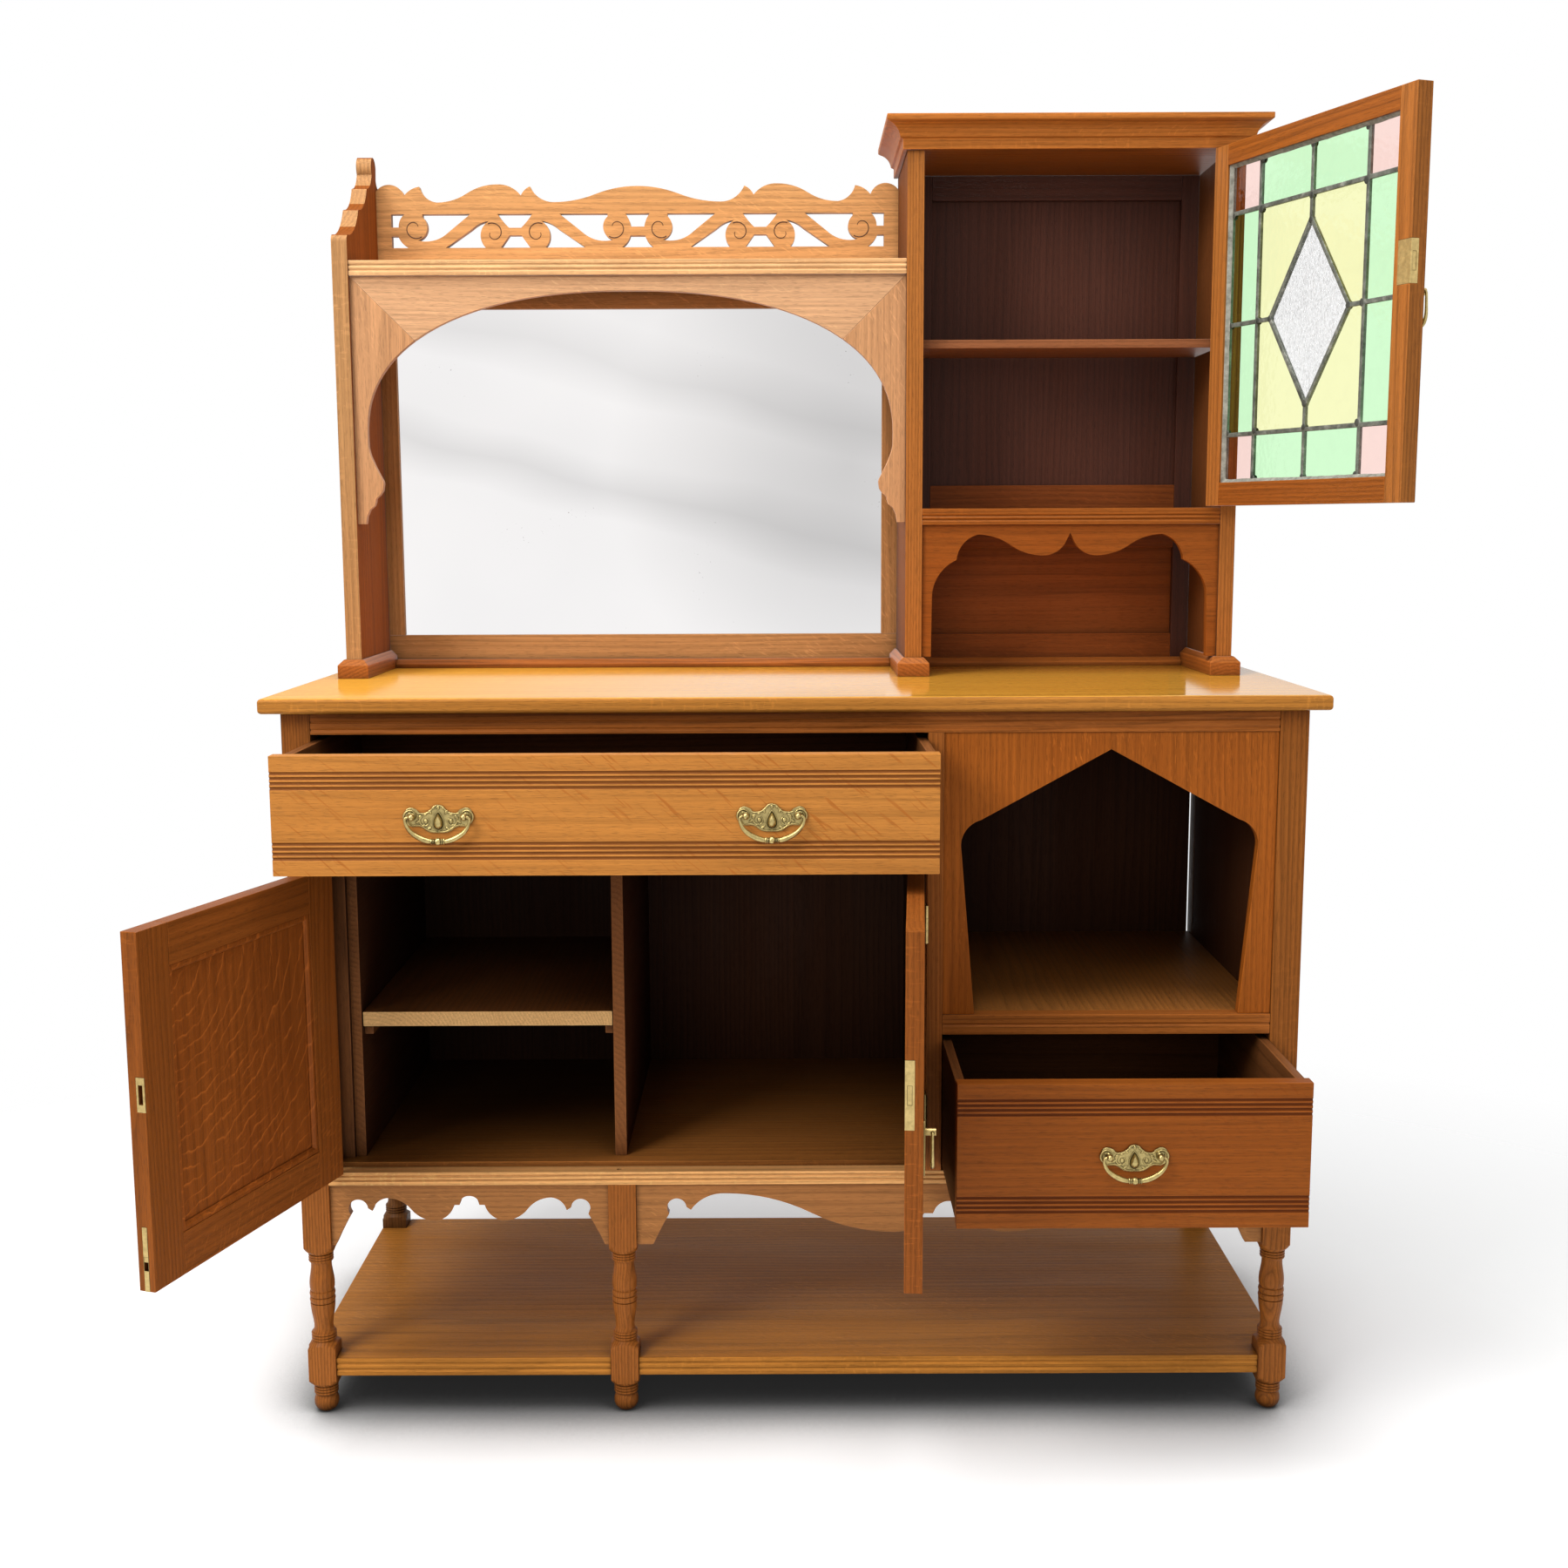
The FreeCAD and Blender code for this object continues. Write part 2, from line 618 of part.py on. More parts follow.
# Upper stage: ends, gallery, mirror and cabinet.
def left_end():
    """The left end board, whose top climbs in rounded steps to a scroll at the back."""
    depth = back - s.upper_front
    base = gallery_top - s.table_height
    outline = Outline(0, 0)
    outline.line(0, base + 25)
    outline.arc((3, base + 33), (12, base + 36))
    outline.arc((51, base + 50), (79, base + 80))
    outline.line(86, base + 82)
    outline.arc((119, base + 95), (139, base + 120))
    outline.line(146, base + 122)
    outline.arc((165, base + 131), (176, base + 147))
    outline.arc((186, base + 173), (205, base + 160))
    outline.line(203, base + 143)
    outline.arc((208, base + 136), (depth, base + 133))
    outline.line(depth, 0)
    return plate("upper_left_end_board", "YZ_Plane", [outline], s.end_thickness,
                 (left_end_out, s.upper_front, s.table_height))


node("upper_left_end", left_end())


def around(middle, width):
    """A pair of limits about a middle."""
    return (middle - width / 2, middle + width / 2)


lock_slot_height = s.lock_bolt_height + 2 * s.lock_play
lock_slot_width = s.lock_bolt_width + 2 * s.lock_play
glazed_back = s.upper_front + s.glazed_thickness
cabinet_up = (s.table_height, cabinet_ceiling)
mid_end = cut("cabinet_left_end",
              box("cabinet_left_end_board", (s.mid_end_across, mid_end_right), (s.upper_front, back),
                  cabinet_up),
              box("bolt_mortise", (mid_end_right - s.lock_bolt_throw, mid_end_right),
                  around(glazed_back - s.lock_width / 2, lock_slot_width),
                  around(glazed_lock_level, lock_slot_height)))
node("cabinet_ends", mid_end,
     box("cabinet_right_end", (right_end_in, right_end_out), (s.upper_front, back), cabinet_up))


def foot_moulding(name, left, right):
    """A moulded foot that wraps the front and both sides of an end board."""
    out = s.foot_moulding_projection
    depth = frame_front - s.upper_front
    base = s.upper_front - out
    body = plate(name, "XY_Plane", [rectangle((-out, right - left + out), (0, depth + out))],
                 s.foot_moulding_height, (left, base, s.table_height))
    top = float(s.foot_moulding_height)
    rear = float(depth + out)
    dress(body, "Chamfer", s.foot_moulding_slope,
          lambda limit: limit.ZMin > top - 0.1 and limit.YMin < rear - 1)
    pocket = body.newObject("PartDesign::Pocket", name + "_seat")
    pocket.Profile = new_sketch(body, "XY_Plane", [rectangle((0, right - left), (out, depth + out))])
    pocket.Type = "ThroughAll"
    pocket.Reversed = True
    return body


def base_moulding(name, left, right):
    """A small sloped moulding where the back meets the table top."""
    section = polygon((0, 0), (0, s.base_moulding_height * 0.5),
                      (s.base_moulding_depth * 0.6, s.base_moulding_height),
                      (s.base_moulding_depth, s.base_moulding_height), (s.base_moulding_depth, 0))
    return plate(name, "YZ_Plane", [section], right - left,
                 (left, frame_front - s.base_moulding_depth, s.table_height))


moulding_out = s.foot_moulding_projection
node("foot_mouldings",
     foot_moulding("left_foot", left_end_out, left_end_in),
     foot_moulding("middle_foot", s.mid_end_across, mid_end_right),
     foot_moulding("right_foot", right_end_in, right_end_out),
     base_moulding("mirror_base_moulding", left_end_in + moulding_out, s.mid_end_across - moulding_out),
     base_moulding("niche_base_moulding", mid_end_right + moulding_out, right_end_in - moulding_out))

gallery_section = reeded(back - s.upper_front - s.gallery_setback, s.gallery_thickness,
                         [s.gallery_thickness * 0.36, s.gallery_thickness * 0.68])
mirror_width = s.mid_end_across - left_end_in
mirror_middle = (s.mid_end_across + left_end_in) / 2
node("gallery_shelf", plate("gallery_shelf_board", "YZ_Plane", [gallery_section], mirror_width,
                            (left_end_in, s.upper_front + s.gallery_setback, s.gallery_height)))


def scroll_windows():
    """The openings of one half of the fret, to the right of its middle line."""
    low = s.fret_band_bottom
    high = low + s.fret_band_height
    radius = s.volute_radius
    first, second, third, fourth = 33, 151, 217, 335
    pair = (second + third) / 2
    end = fourth + 35
    upper = high - radius
    lower = low + radius + 2
    above = Outline(first + 12, high)
    above.line(second - 34, high)
    above.line(first + 51, upper - 7)
    above.arc((first + 29, upper - 19), (first + 4, upper - radius))
    above.arc((first + radius * 0.94, upper - radius * 0.34), (first + 12, high - 4))
    below = Outline(second - 72, low)
    below.line(second - 12, low)
    below.arc((second - radius, lower), (second - 6, lower + radius - 1))
    below.arc((second - 20, lower + 14), (second - 32, lower + 6))
    below.line(second - 72, low)
    bridge_high = Outline(pair - 26, high)
    bridge_high.line(pair + 26, high)
    bridge_high.arc((pair + 15, lower + 14), (pair + 9, lower + 8))
    bridge_high.line(pair - 9, lower + 8)
    bridge_high.arc((pair - 15, lower + 14), (pair - 26, high))
    bridge_low = Outline(pair - 9, lower - 3)
    bridge_low.line(pair + 9, lower - 3)
    bridge_low.line(pair + 22, low)
    bridge_low.line(pair - 22, low)
    end_high = Outline(fourth + 15, high)
    end_high.line(end, high)
    end_high.line(end, upper)
    end_high.line(fourth + 24, upper)
    end_high.arc((fourth + 22, upper + 10), (fourth + 15, high))
    end_low = Outline(fourth + 25, upper - 13)
    end_low.line(end, upper - 13)
    end_low.line(end, low)
    end_low.line(fourth + 10, low)
    end_low.arc((fourth + 19, low + 7), (fourth + 25, upper - 13))
    return [above, below, bridge_high, bridge_low, end_high, end_low,
            above.flipped(pair), below.flipped(pair)]


def gallery_fret():
    """The pierced back of the gallery: waves, leaf tips and paired S-scrolls."""
    half = mirror_width / 2
    trough = s.fret_band_bottom + s.fret_band_height + 17
    crest = trough + s.fret_rise
    tip = crest - 3
    notch = crest - 16
    edge = -half
    outline = Outline(edge, 0)
    outline.line(edge, crest - 10)
    outline.arc((edge + 19, crest), (edge + 42, notch))
    outline.arc((edge + 51, notch + 8), (edge + 65, tip))
    outline.turn(False, edge + 91, trough)
    outline.swell(edge + 181, crest)
    outline.turn(True, edge + 217, notch)
    outline.arc((edge + 223, notch + 8), (edge + 231, tip))
    outline.turn(False, edge + 266, trough)
    outline.swell(0, crest - 3)
    outline.mirror()
    windows = scroll_windows()
    windows += [window.flipped(0) for window in windows]
    low = s.fret_band_bottom
    high = low + s.fret_band_height
    middle = high - s.volute_radius
    upper = Outline(-18, high)
    upper.line(18, high)
    upper.arc((12, middle + 8), (10, middle))
    upper.line(-10, middle)
    upper.arc((-12, middle + 8), (-18, high))
    lower = Outline(-11, middle - 13)
    lower.line(11, middle - 13)
    lower.arc((16, low + 7), (24, low))
    lower.line(-24, low)
    lower.arc((-16, low + 7), (-11, middle - 13))
    windows += [upper, lower]
    return plate("gallery_fret_board", "XZ_Plane", [outline] + windows, s.fret_thickness,
                 (mirror_middle, back - s.fret_thickness, gallery_top))


node("gallery_fret", gallery_fret())


def arch_boards():
    """The frieze over the mirror: one shaped head mitred to two shaped side boards."""
    half = mirror_width / 2
    edge = -half
    place = (mirror_middle, s.upper_front + s.arch_setback, s.gallery_height)
    outline = Outline(edge, 0)
    outline.line(edge, -s.arch_drop)
    outline.line(edge + 9, -s.arch_drop)
    outline.arc((edge + 13, -s.arch_drop + 20), (edge + 25, -s.arch_drop + 35))
    outline.arc((edge + 35, -s.arch_drop + 72), (edge + 19, -s.arch_spring))
    outline.arc((edge * 0.6, -s.arch_crown - (s.arch_spring - s.arch_crown) * 0.26), (0, -s.arch_crown))
    outline.mirror()
    board = plate("arch_blank", "XZ_Plane", [outline], s.arch_thickness, place)
    reach = s.arch_spring
    corners = polygon((edge, 0), (half, 0), (half - reach, -reach), (edge + reach, -reach))
    wedge = plate("mitre_wedge", "XZ_Plane", [corners], s.arch_thickness, place)
    head = doc.addObject("Part::Common", "arch_head")
    head.Base = board
    head.Tool = wedge
    return head, cut("arch_sides", board, wedge)


node("arch_frieze", *arch_boards())

sight_left = left_end_in + s.mirror_stile
sight_right = s.mid_end_across - s.mirror_stile
sight_top = s.gallery_height - s.mirror_top_rail
frame_depth = (frame_front, frame_back)
mirror_across = (left_end_in, s.mid_end_across)
sight_up = (s.mirror_bottom, sight_top)
node("mirror_frame",
     box("mirror_bottom_rail", mirror_across, frame_depth, (s.table_height, s.mirror_bottom)),
     box("mirror_top_rail_bar", mirror_across, frame_depth, (sight_top, s.gallery_height)),
     box("mirror_left_stile", (left_end_in, sight_left), frame_depth, sight_up),
     box("mirror_right_stile", (sight_right, s.mid_end_across), frame_depth, sight_up))
node("mirror_glass",
     box("mirror_plate", (sight_left - s.mirror_lap, sight_right + s.mirror_lap), (frame_back, glass_back),
         (s.mirror_bottom - s.mirror_lap, sight_top + s.mirror_lap)))
node("mirror_backboard", box("mirror_back_panel", mirror_across, (glass_back, back),
                             (s.table_height, s.gallery_height)))

cabinet_across = (mid_end_right, right_end_in)
floor_section = reeded(frame_front - s.upper_front, s.cabinet_floor_thickness,
                       [s.cabinet_floor_thickness * 0.3, s.cabinet_floor_thickness * 0.55])
node("cabinet_boards",
     plate("cabinet_floor", "YZ_Plane", [floor_section], right_end_in - mid_end_right,
           (mid_end_right, s.upper_front, s.cabinet_floor_bottom)),
     box("cabinet_shelf", cabinet_across, (s.upper_front + s.cabinet_shelf_setback, frame_front),
         (s.cabinet_shelf_bottom, s.cabinet_shelf_bottom + s.cabinet_shelf_thickness)),
     box("cabinet_top", (s.mid_end_across, right_end_out), (s.upper_front, back),
         (cabinet_ceiling, cabinet_ceiling + s.cabinet_top_thickness)))

panel_left = mid_end_right + s.cabinet_stile
panel_right = right_end_in - s.cabinet_stile
cabinet_rails = (("foot", s.table_height, s.table_height + s.cabinet_rail + s.base_moulding_height),
                 ("middle", s.cabinet_floor_bottom - s.cabinet_rail, cabinet_floor_top + s.cabinet_rail),
                 ("head", cabinet_ceiling - s.cabinet_rail, cabinet_ceiling))
node("cabinet_back",
     box("cabinet_back_panel", cabinet_across, (frame_back, back), cabinet_up),
     box("cabinet_back_stile_left", (mid_end_right, panel_left), frame_depth, cabinet_up),
     box("cabinet_back_stile_right", (panel_right, right_end_in), frame_depth, cabinet_up),
     *[box("cabinet_back_rail_" + name, (panel_left, panel_right), frame_depth, (low, high))
       for name, low, high in cabinet_rails])


def cornice():
    """The crown moulding, mitred round the front and both ends of the cabinet."""
    body = doc.addObject("PartDesign::Body", "cornice_moulding")
    width = float(right_end_out - s.mid_end_across)
    depth = float(back - s.upper_front)
    path = body.newObject("Sketcher::SketchObject", "cornice_path")
    plane = next(item for item in body.Origin.OriginFeatures if item.Role == "XY_Plane")
    path.AttachmentSupport = [(plane, "")]
    path.MapMode = "FlatFace"
    corners = [Vector(0, depth, 0), Vector(), Vector(width, 0, 0), Vector(width, depth, 0)]
    path.addGeometry([Part.LineSegment(*corners[i:i + 2]) for i in range(3)], False)
    out = s.cornice_projection
    high = s.cornice_height
    section = Outline(0, 0)
    section.line(0, high)
    section.line(-out, high)
    section.line(-out, high * 0.82)
    section.line(-out * 0.87, high * 0.78)
    section.arc((-out * 0.52, high * 0.62), (-out * 0.36, high * 0.36))
    section.line(-out * 0.22, high * 0.32)
    section.line(-out * 0.22, 0)
    sweep = body.newObject("PartDesign::AdditivePipe", "cornice_sweep")
    sweep.Profile = new_sketch(body, "XZ_Plane", [section], -depth)
    sweep.Spine = (path, ["Edge1", "Edge2", "Edge3"])
    sweep.Transition = "Right corner"
    return settle(body, (s.mid_end_across, s.upper_front, cabinet_ceiling))


node("cornice", cornice())


def bat_wing():
    """The apron under the cabinet: brackets, cusps and two wings that meet in a point."""
    half = (right_end_in - mid_end_right) / 2
    edge = -half
    foot = s.cabinet_floor_bottom - s.table_height - s.foot_moulding_height
    outline = Outline(edge, 0)
    outline.line(edge, -foot)
    outline.line(edge + 14, -foot)
    outline.line(edge + 15, -104)
    outline.turn(False, edge + 50, -50)
    outline.turn(False, edge + 80, -14)
    outline.swell(-38, -44)
    outline.arc((-18, -38), (-6, -24))
    outline.line(0, -12)
    outline.mirror()
    middle = (right_end_in + mid_end_right) / 2
    return plate("bat_wing_board", "XZ_Plane", [outline], s.bat_wing_thickness,
                 (middle, s.upper_front + s.bat_wing_setback, s.cabinet_floor_bottom))


node("bat_wing_apron", bat_wing())


# Hinges: a leaf on the frame with its pin riveted in, and a leaf on the door that turns on the pin.
def hinge(name, across, front, low, sign):
    """The two leaves of one butt hinge; sign is the side that the frame is on."""
    axis = Vector(float(across), float(front), float(low))
    height = float(s.hinge_height)
    play = float(s.knuckle_play)
    third = height / 3
    thick = float(s.leaf_thickness)
    inner = float(s.door_gap) / 2 - thick
    stand_off = float(hinge_out)

    def leaf(side, knuckles):
        start = side * inner if side > 0 else side * inner - thick
        shape = Part.makeBox(thick, float(s.leaf_depth), height, axis + Vector(start, stand_off, 0))
        for base, top in knuckles:
            tall = top - base
            shape = shape.fuse(Part.makeCylinder(float(s.knuckle_radius), tall, axis + Vector(0, 0, base)))
            shape = shape.fuse(Part.makeBox(thick, stand_off, tall, axis + Vector(start, 0, base)))
        return shape

    pin = Part.makeCylinder(float(s.pin_radius), height, axis)
    bore = Part.makeCylinder(float(s.pin_radius + s.pin_play), height, axis)
    frame_leaf = leaf(sign, [(0, third), (2 * third, height)]).fuse(pin)
    door_leaf = leaf(-sign, [(third + play, 2 * third - play)]).cut(bore)
    made = []
    for part_name, shape in (("_frame_leaf", frame_leaf), ("_door_leaf", door_leaf)):
        feature = doc.addObject("Part::Feature", name + part_name)
        feature.Shape = shape.removeSplitter().Solids[0]
        made.append(feature)
    return made


door_hinges = (("left_door", left_hinge, -hinge_out, door_bottom, door_top, -1),
               ("right_door", right_hinge, -hinge_out, door_bottom, door_top, 1),
               ("glazed_door", glazed_hinge, s.upper_front - hinge_out, glazed_bottom, glazed_top, 1))
frame_leaves = []
door_leaves = {}
for door, across, front, low, high, sign in door_hinges:
    lower = hinge(door + "_low_hinge", across, front, low + s.hinge_inset, sign)
    upper = hinge(door + "_high_hinge", across, front, high - s.hinge_inset - s.hinge_height, sign)
    frame_leaves += [lower[0], upper[0]]
    door_leaves[door] = (lower[1], upper[1])
node("hinge_frame_leaves", *frame_leaves)


# Cupboard doors.
def bead_ring(name, across, up, front, forward):
    """A sloped bead planted round a panel, on the front or the inner face of the door."""
    width = s.bead_width
    section = [rectangle((0, across[1] - across[0]), (0, up[1] - up[0])),
               rectangle((width, across[1] - across[0] - width), (width, up[1] - up[0] - width))]
    base = front - s.bead_height if forward else front
    body = plate(name, "XZ_Plane", section, s.bead_height, (across[0], base, up[0]))
    face = 0.0 if forward else float(s.bead_height)
    inner = float(width) - 0.1
    outer = float(across[1] - across[0] - width) + 0.1

    def inner_edge(limit):
        on_face = abs(limit.YMin - face) + abs(limit.YMax - face) < 0.01
        return on_face and limit.XMin > inner and limit.XMax < outer

    return dress(body, "Chamfer", s.bead_height * 0.7, inner_edge)


def door_boards(name, across, up, mortises):
    """Two stiles and two rails; mortises are taken out of the meeting stile."""
    left, right = across
    depth = (0, s.door_thickness)
    stiles = {"left": box(name + "_left_stile", (left, left + s.door_stile), depth, up),
              "right": box(name + "_right_stile", (right - s.door_stile, right), depth, up)}
    meeting = "right" if name == "left_door" else "left"
    for number, tool in enumerate(mortises):
        stiles[meeting] = cut("%s_meeting_stile_%d" % (name, number), stiles[meeting], tool)
    inner = (left + s.door_stile, right - s.door_stile)
    return (stiles["left"], stiles["right"],
            box(name + "_low_rail", inner, depth, (up[0], up[0] + s.door_rail)),
            box(name + "_high_rail", inner, depth, (up[1] - s.door_rail, up[1])))


def door_panel(name, across, up):
    """A flat panel with a bead round it on both faces."""
    inner = (across[0] + s.door_stile, across[1] - s.door_stile)
    tall = (up[0] + s.door_rail, up[1] - s.door_rail)
    front = (s.door_thickness - s.door_panel_thickness) / 2
    rear = front + s.door_panel_thickness
    return (box(name + "_panel_board", inner, (front, rear), tall),
            bead_ring(name + "_front_bead", inner, tall, front, True),
            bead_ring(name + "_inner_bead", inner, tall, rear, False))


def lock(name, edge, depth, level, height):
    """A lock let into a door's left edge, its bolt drawn back, and the mortise that takes it."""
    def across(near, far):
        return (edge + near, edge + far)

    middle = depth - s.lock_width / 2
    reach = s.lock_depth - s.lock_play * 10
    whole_depth = (depth - s.lock_width, depth)
    whole_up = around(level, height)
    case = box(name + "_case", across(0, s.lock_depth), whole_depth, whole_up)
    mortise = box(name + "_mortise", across(0, s.lock_depth), whole_depth, whole_up)
    slot = box(name + "_slot", across(0, reach), around(middle, lock_slot_width),
               around(level, lock_slot_height))
    bolt = box(name + "_bolt_bar", across(s.lock_play, reach - s.lock_play),
               around(middle, s.lock_bolt_width), around(level, s.lock_bolt_height))
    return cut(name + "_body", case, slot), bolt, mortise


right_lock, right_lock_bolt, right_mortise = lock("right_lock", meeting_right, s.door_thickness,
                                                  right_lock_level, s.right_lock_height)

strike_across = (meeting_left - s.strike_thickness, meeting_left)
strike_back = (s.door_thickness - s.lock_width, s.door_thickness)
strike_up = around(right_lock_level, s.strike_height)
strike_slot_back = around(s.door_thickness - s.lock_width / 2, lock_slot_width)
strike_slot_up = around(right_lock_level, lock_slot_height)
strike_seat = box("strike_seat", strike_across, strike_back, strike_up)
strike_pocket = box("strike_pocket", (meeting_left - s.lock_bolt_throw, meeting_left), strike_slot_back,
                    strike_slot_up)
strike_plate = cut("strike_plate", box("strike_blank", strike_across, strike_back, strike_up),
                   box("strike_slot", strike_across, strike_slot_back, strike_slot_up))

bolt_half = s.bolt_radius + s.bolt_play
bolt_back_limits = (bolt_back - bolt_half, bolt_back + bolt_half)
bolt_plate_up = (door_bottom, door_bottom + s.bolt_plate_height)
bolt_channel_left = bolt_across - bolt_half
bolt_channel = box("bolt_channel", (bolt_channel_left, meeting_left), bolt_back_limits, bolt_plate_up)
thumb_half = s.bolt_radius - s.bolt_play
thumb_low = door_bottom + s.bolt_length * 0.6
thumb_high = thumb_low + s.bolt_radius * 2
bolt_plate = cut("bolt_plate",
                 box("bolt_plate_blank", strike_across, bolt_back_limits, bolt_plate_up),
                 box("bolt_plate_slot", strike_across, around(bolt_back, 2 * (thumb_half + s.bolt_play)),
                     (thumb_low - s.bolt_throw - s.bolt_play, thumb_high + s.bolt_play)))
flush_bolt = fuse("flush_bolt_bar",
                  cylinder("flush_bolt_rod", s.bolt_radius, s.bolt_length,
                           (bolt_across, bolt_back, door_bottom)),
                  box("flush_bolt_thumb", (bolt_across, meeting_left - s.bolt_play),
                      around(bolt_back, 2 * thumb_half), (thumb_low, thumb_high)))

left_across = (door_left, meeting_left)
right_across = (meeting_right, door_right)
door_up = (door_bottom, door_top)
left_mortises = [strike_seat, strike_pocket, bolt_channel]
node("left_door_frame", *door_boards("left_door", left_across, door_up, left_mortises), pose=left_door_pose)
node("left_door_panel", *door_panel("left_door", left_across, door_up), pose=left_door_pose)
node("left_door_hinge_leaves", *door_leaves["left_door"], pose=left_door_pose)
node("left_door_plates", strike_plate, bolt_plate, pose=left_door_pose)
node("left_door_bolt", flush_bolt, pose=left_door_pose)
node("right_door_frame", *door_boards("right_door", right_across, door_up, [right_mortise]),
     pose=right_door_pose)
node("right_door_panel", *door_panel("right_door", right_across, door_up), pose=right_door_pose)
node("right_door_hinge_leaves", *door_leaves["right_door"], pose=right_door_pose)
node("right_door_lock_bolt", right_lock_bolt, pose=right_door_pose)


# Brass handles. Each is drawn about its own middle, facing -Y from the wood.
def handle_outline():
    """A backplate with a raised shield between two scrolled ears."""
    half = s.plate_half_width
    outline = Outline(0, -17)
    outline.line(-half + 29, -16)
    outline.line(-half + 19, -10)
    outline.line(-half + 7, -9)
    outline.line(-half, 2)
    outline.arc((-half + 6, 14), (-half + 16, 10))
    outline.line(-half + 21, 7)
    outline.line(-half + 31, 8)
    outline.line(-half + 36, 14)
    outline.line(0, 17)
    return outline.mirror()


def drilled_post(name, place, length, radius, bore, side=0):
    """A round post with a cross hole: right through it, or from its middle out to one side."""
    across, front, level = place
    post = cylinder(name + "_stem", radius, length, place, Vector(0, -1, 0))
    start = across - side * s.bail_play if side else across - radius
    reach = radius + s.bail_play if side else 2 * radius
    hole = cylinder(name + "_hole", bore, reach, (start, front - s.bail_stand_off, level),
                    Vector(side or 1, 0, 0))
    return cut(name, post, hole)


def handle_plate(name, across, face, level):
    """A backplate with the two posts that carry the bail."""
    front = face - s.plate_thickness
    back_plate = plate(name + "_blank", "XZ_Plane", [handle_outline()], s.plate_thickness,
                       (across, front, level))
    posts = [drilled_post(name + "_post_" + side, (across + sign * s.bail_post_across, front, level + 3),
                          s.bail_post_length, s.bail_post_radius, s.bail_rod_radius + s.bail_play, sign)
             for side, sign in (("left", -1), ("right", 1))]
    return fuse(name, back_plate, *posts)


def bent_rod(name, place, radius, points):
    """An eight-sided rod bent along straight runs, with points across and down from a place."""
    origin = Vector(*[float(size) for size in place])
    path = [origin + Vector(float(across), 0, -float(down)) for across, down in points]
    wire = Part.makePolygon(path)
    corners = [math.radians(45 * i + 22.5) for i in range(9)]
    section = Part.makePolygon([path[0] + Vector(0, math.cos(turn), math.sin(turn)) * float(radius)
                                for turn in corners])
    feature = doc.addObject("Part::Feature", name)
    feature.Shape = wire.makePipeShell([section], True, False, 1).Solids[0]
    return feature


def bail(name, across, face, level):
    """A hanging bail whose ends turn inwards into the posts."""
    outer = s.bail_post_across + s.bail_post_radius + s.bail_rod_radius * 2
    drop = s.bail_drop
    half = [(s.bail_post_across, 0), (outer, 0), (outer * 0.88, drop * 0.6), (outer * 0.5, drop)]
    points = [(-out, down) for out, down in half] + half[::-1]
    return bent_rod(name, (across, face - s.plate_thickness - s.bail_stand_off, level + 3),
                    s.bail_rod_radius, points)


handle_level = drawer_rail_top + s.drawer_gap + s.long_drawer_height / 2 - s.handle_drop
long_middle = (-post_inside + s.divider_across) / 2
lower_middle = (divider_right + post_inside) / 2
lower_bottom = rail_top + s.drawer_gap
lower_top = s.niche_rail_bottom - s.drawer_gap
lower_level = (lower_bottom + lower_top) / 2 - s.handle_drop / 2
left_handle = long_middle - s.long_handle_across
right_handle = long_middle + s.long_handle_across
base_front = as_size(0)
node("long_drawer_handle_plates", handle_plate("left_handle_plate", left_handle, base_front, handle_level),
     handle_plate("right_handle_plate", right_handle, base_front, handle_level), pose=long_drawer_pose)
node("long_drawer_left_bail", bail("left_bail_rod", left_handle, base_front, handle_level),
     pose=long_drawer_pose)
node("long_drawer_right_bail", bail("right_bail_rod", right_handle, base_front, handle_level),
     pose=long_drawer_pose)
node("lower_drawer_handle_plate", handle_plate("lower_handle_plate", lower_middle, base_front, lower_level),
     pose=lower_drawer_pose)
node("lower_drawer_bail", bail("lower_bail_rod", lower_middle, base_front, lower_level),
     pose=lower_drawer_pose)


def drop_plate(name, across, face, level):
    """A tall narrow plate with the single post that carries a drop handle."""
    half = s.drop_plate_width / 2
    tall = s.drop_plate_height / 2
    outline = Outline(0, -tall)
    outline.arc((-half * 0.6, -tall * 0.72), (-half, -tall * 0.3))
    outline.line(-half, tall * 0.3)
    outline.arc((-half * 0.6, tall * 0.72), (0, tall))
    outline.mirror()
    front = face - s.plate_thickness
    blank = plate(name + "_blank", "XZ_Plane", [outline], s.plate_thickness, (across, front, level))
    post = drilled_post(name + "_post", (across, front, level + s.drop_length / 2), s.bail_post_length,
                        s.bail_post_radius, s.bail_rod_radius + s.bail_play)
    return fuse(name, blank, post)


def drop_handle(name, across, face, level):
    """An open loop that hangs from its post, its ends butted inside the post's hole."""
    wide = s.drop_half_width
    drop = s.drop_length
    half = [(s.bail_play, 0), (wide * 0.7, 0), (wide, drop * 0.85), (wide * 0.5, drop)]
    points = [(-out, down) for out, down in half] + half[::-1]
    return bent_rod(name, (across, face - s.plate_thickness - s.bail_stand_off, level + s.drop_length / 2),
                    s.bail_rod_radius, points)


right_drop = meeting_right + s.drop_setback
node("right_door_brass", right_lock,
     drop_plate("right_drop_plate", right_drop, base_front, right_handle_level), pose=right_door_pose)
node("right_door_drop", drop_handle("right_drop_loop", right_drop, base_front, right_handle_level),
     pose=right_door_pose)


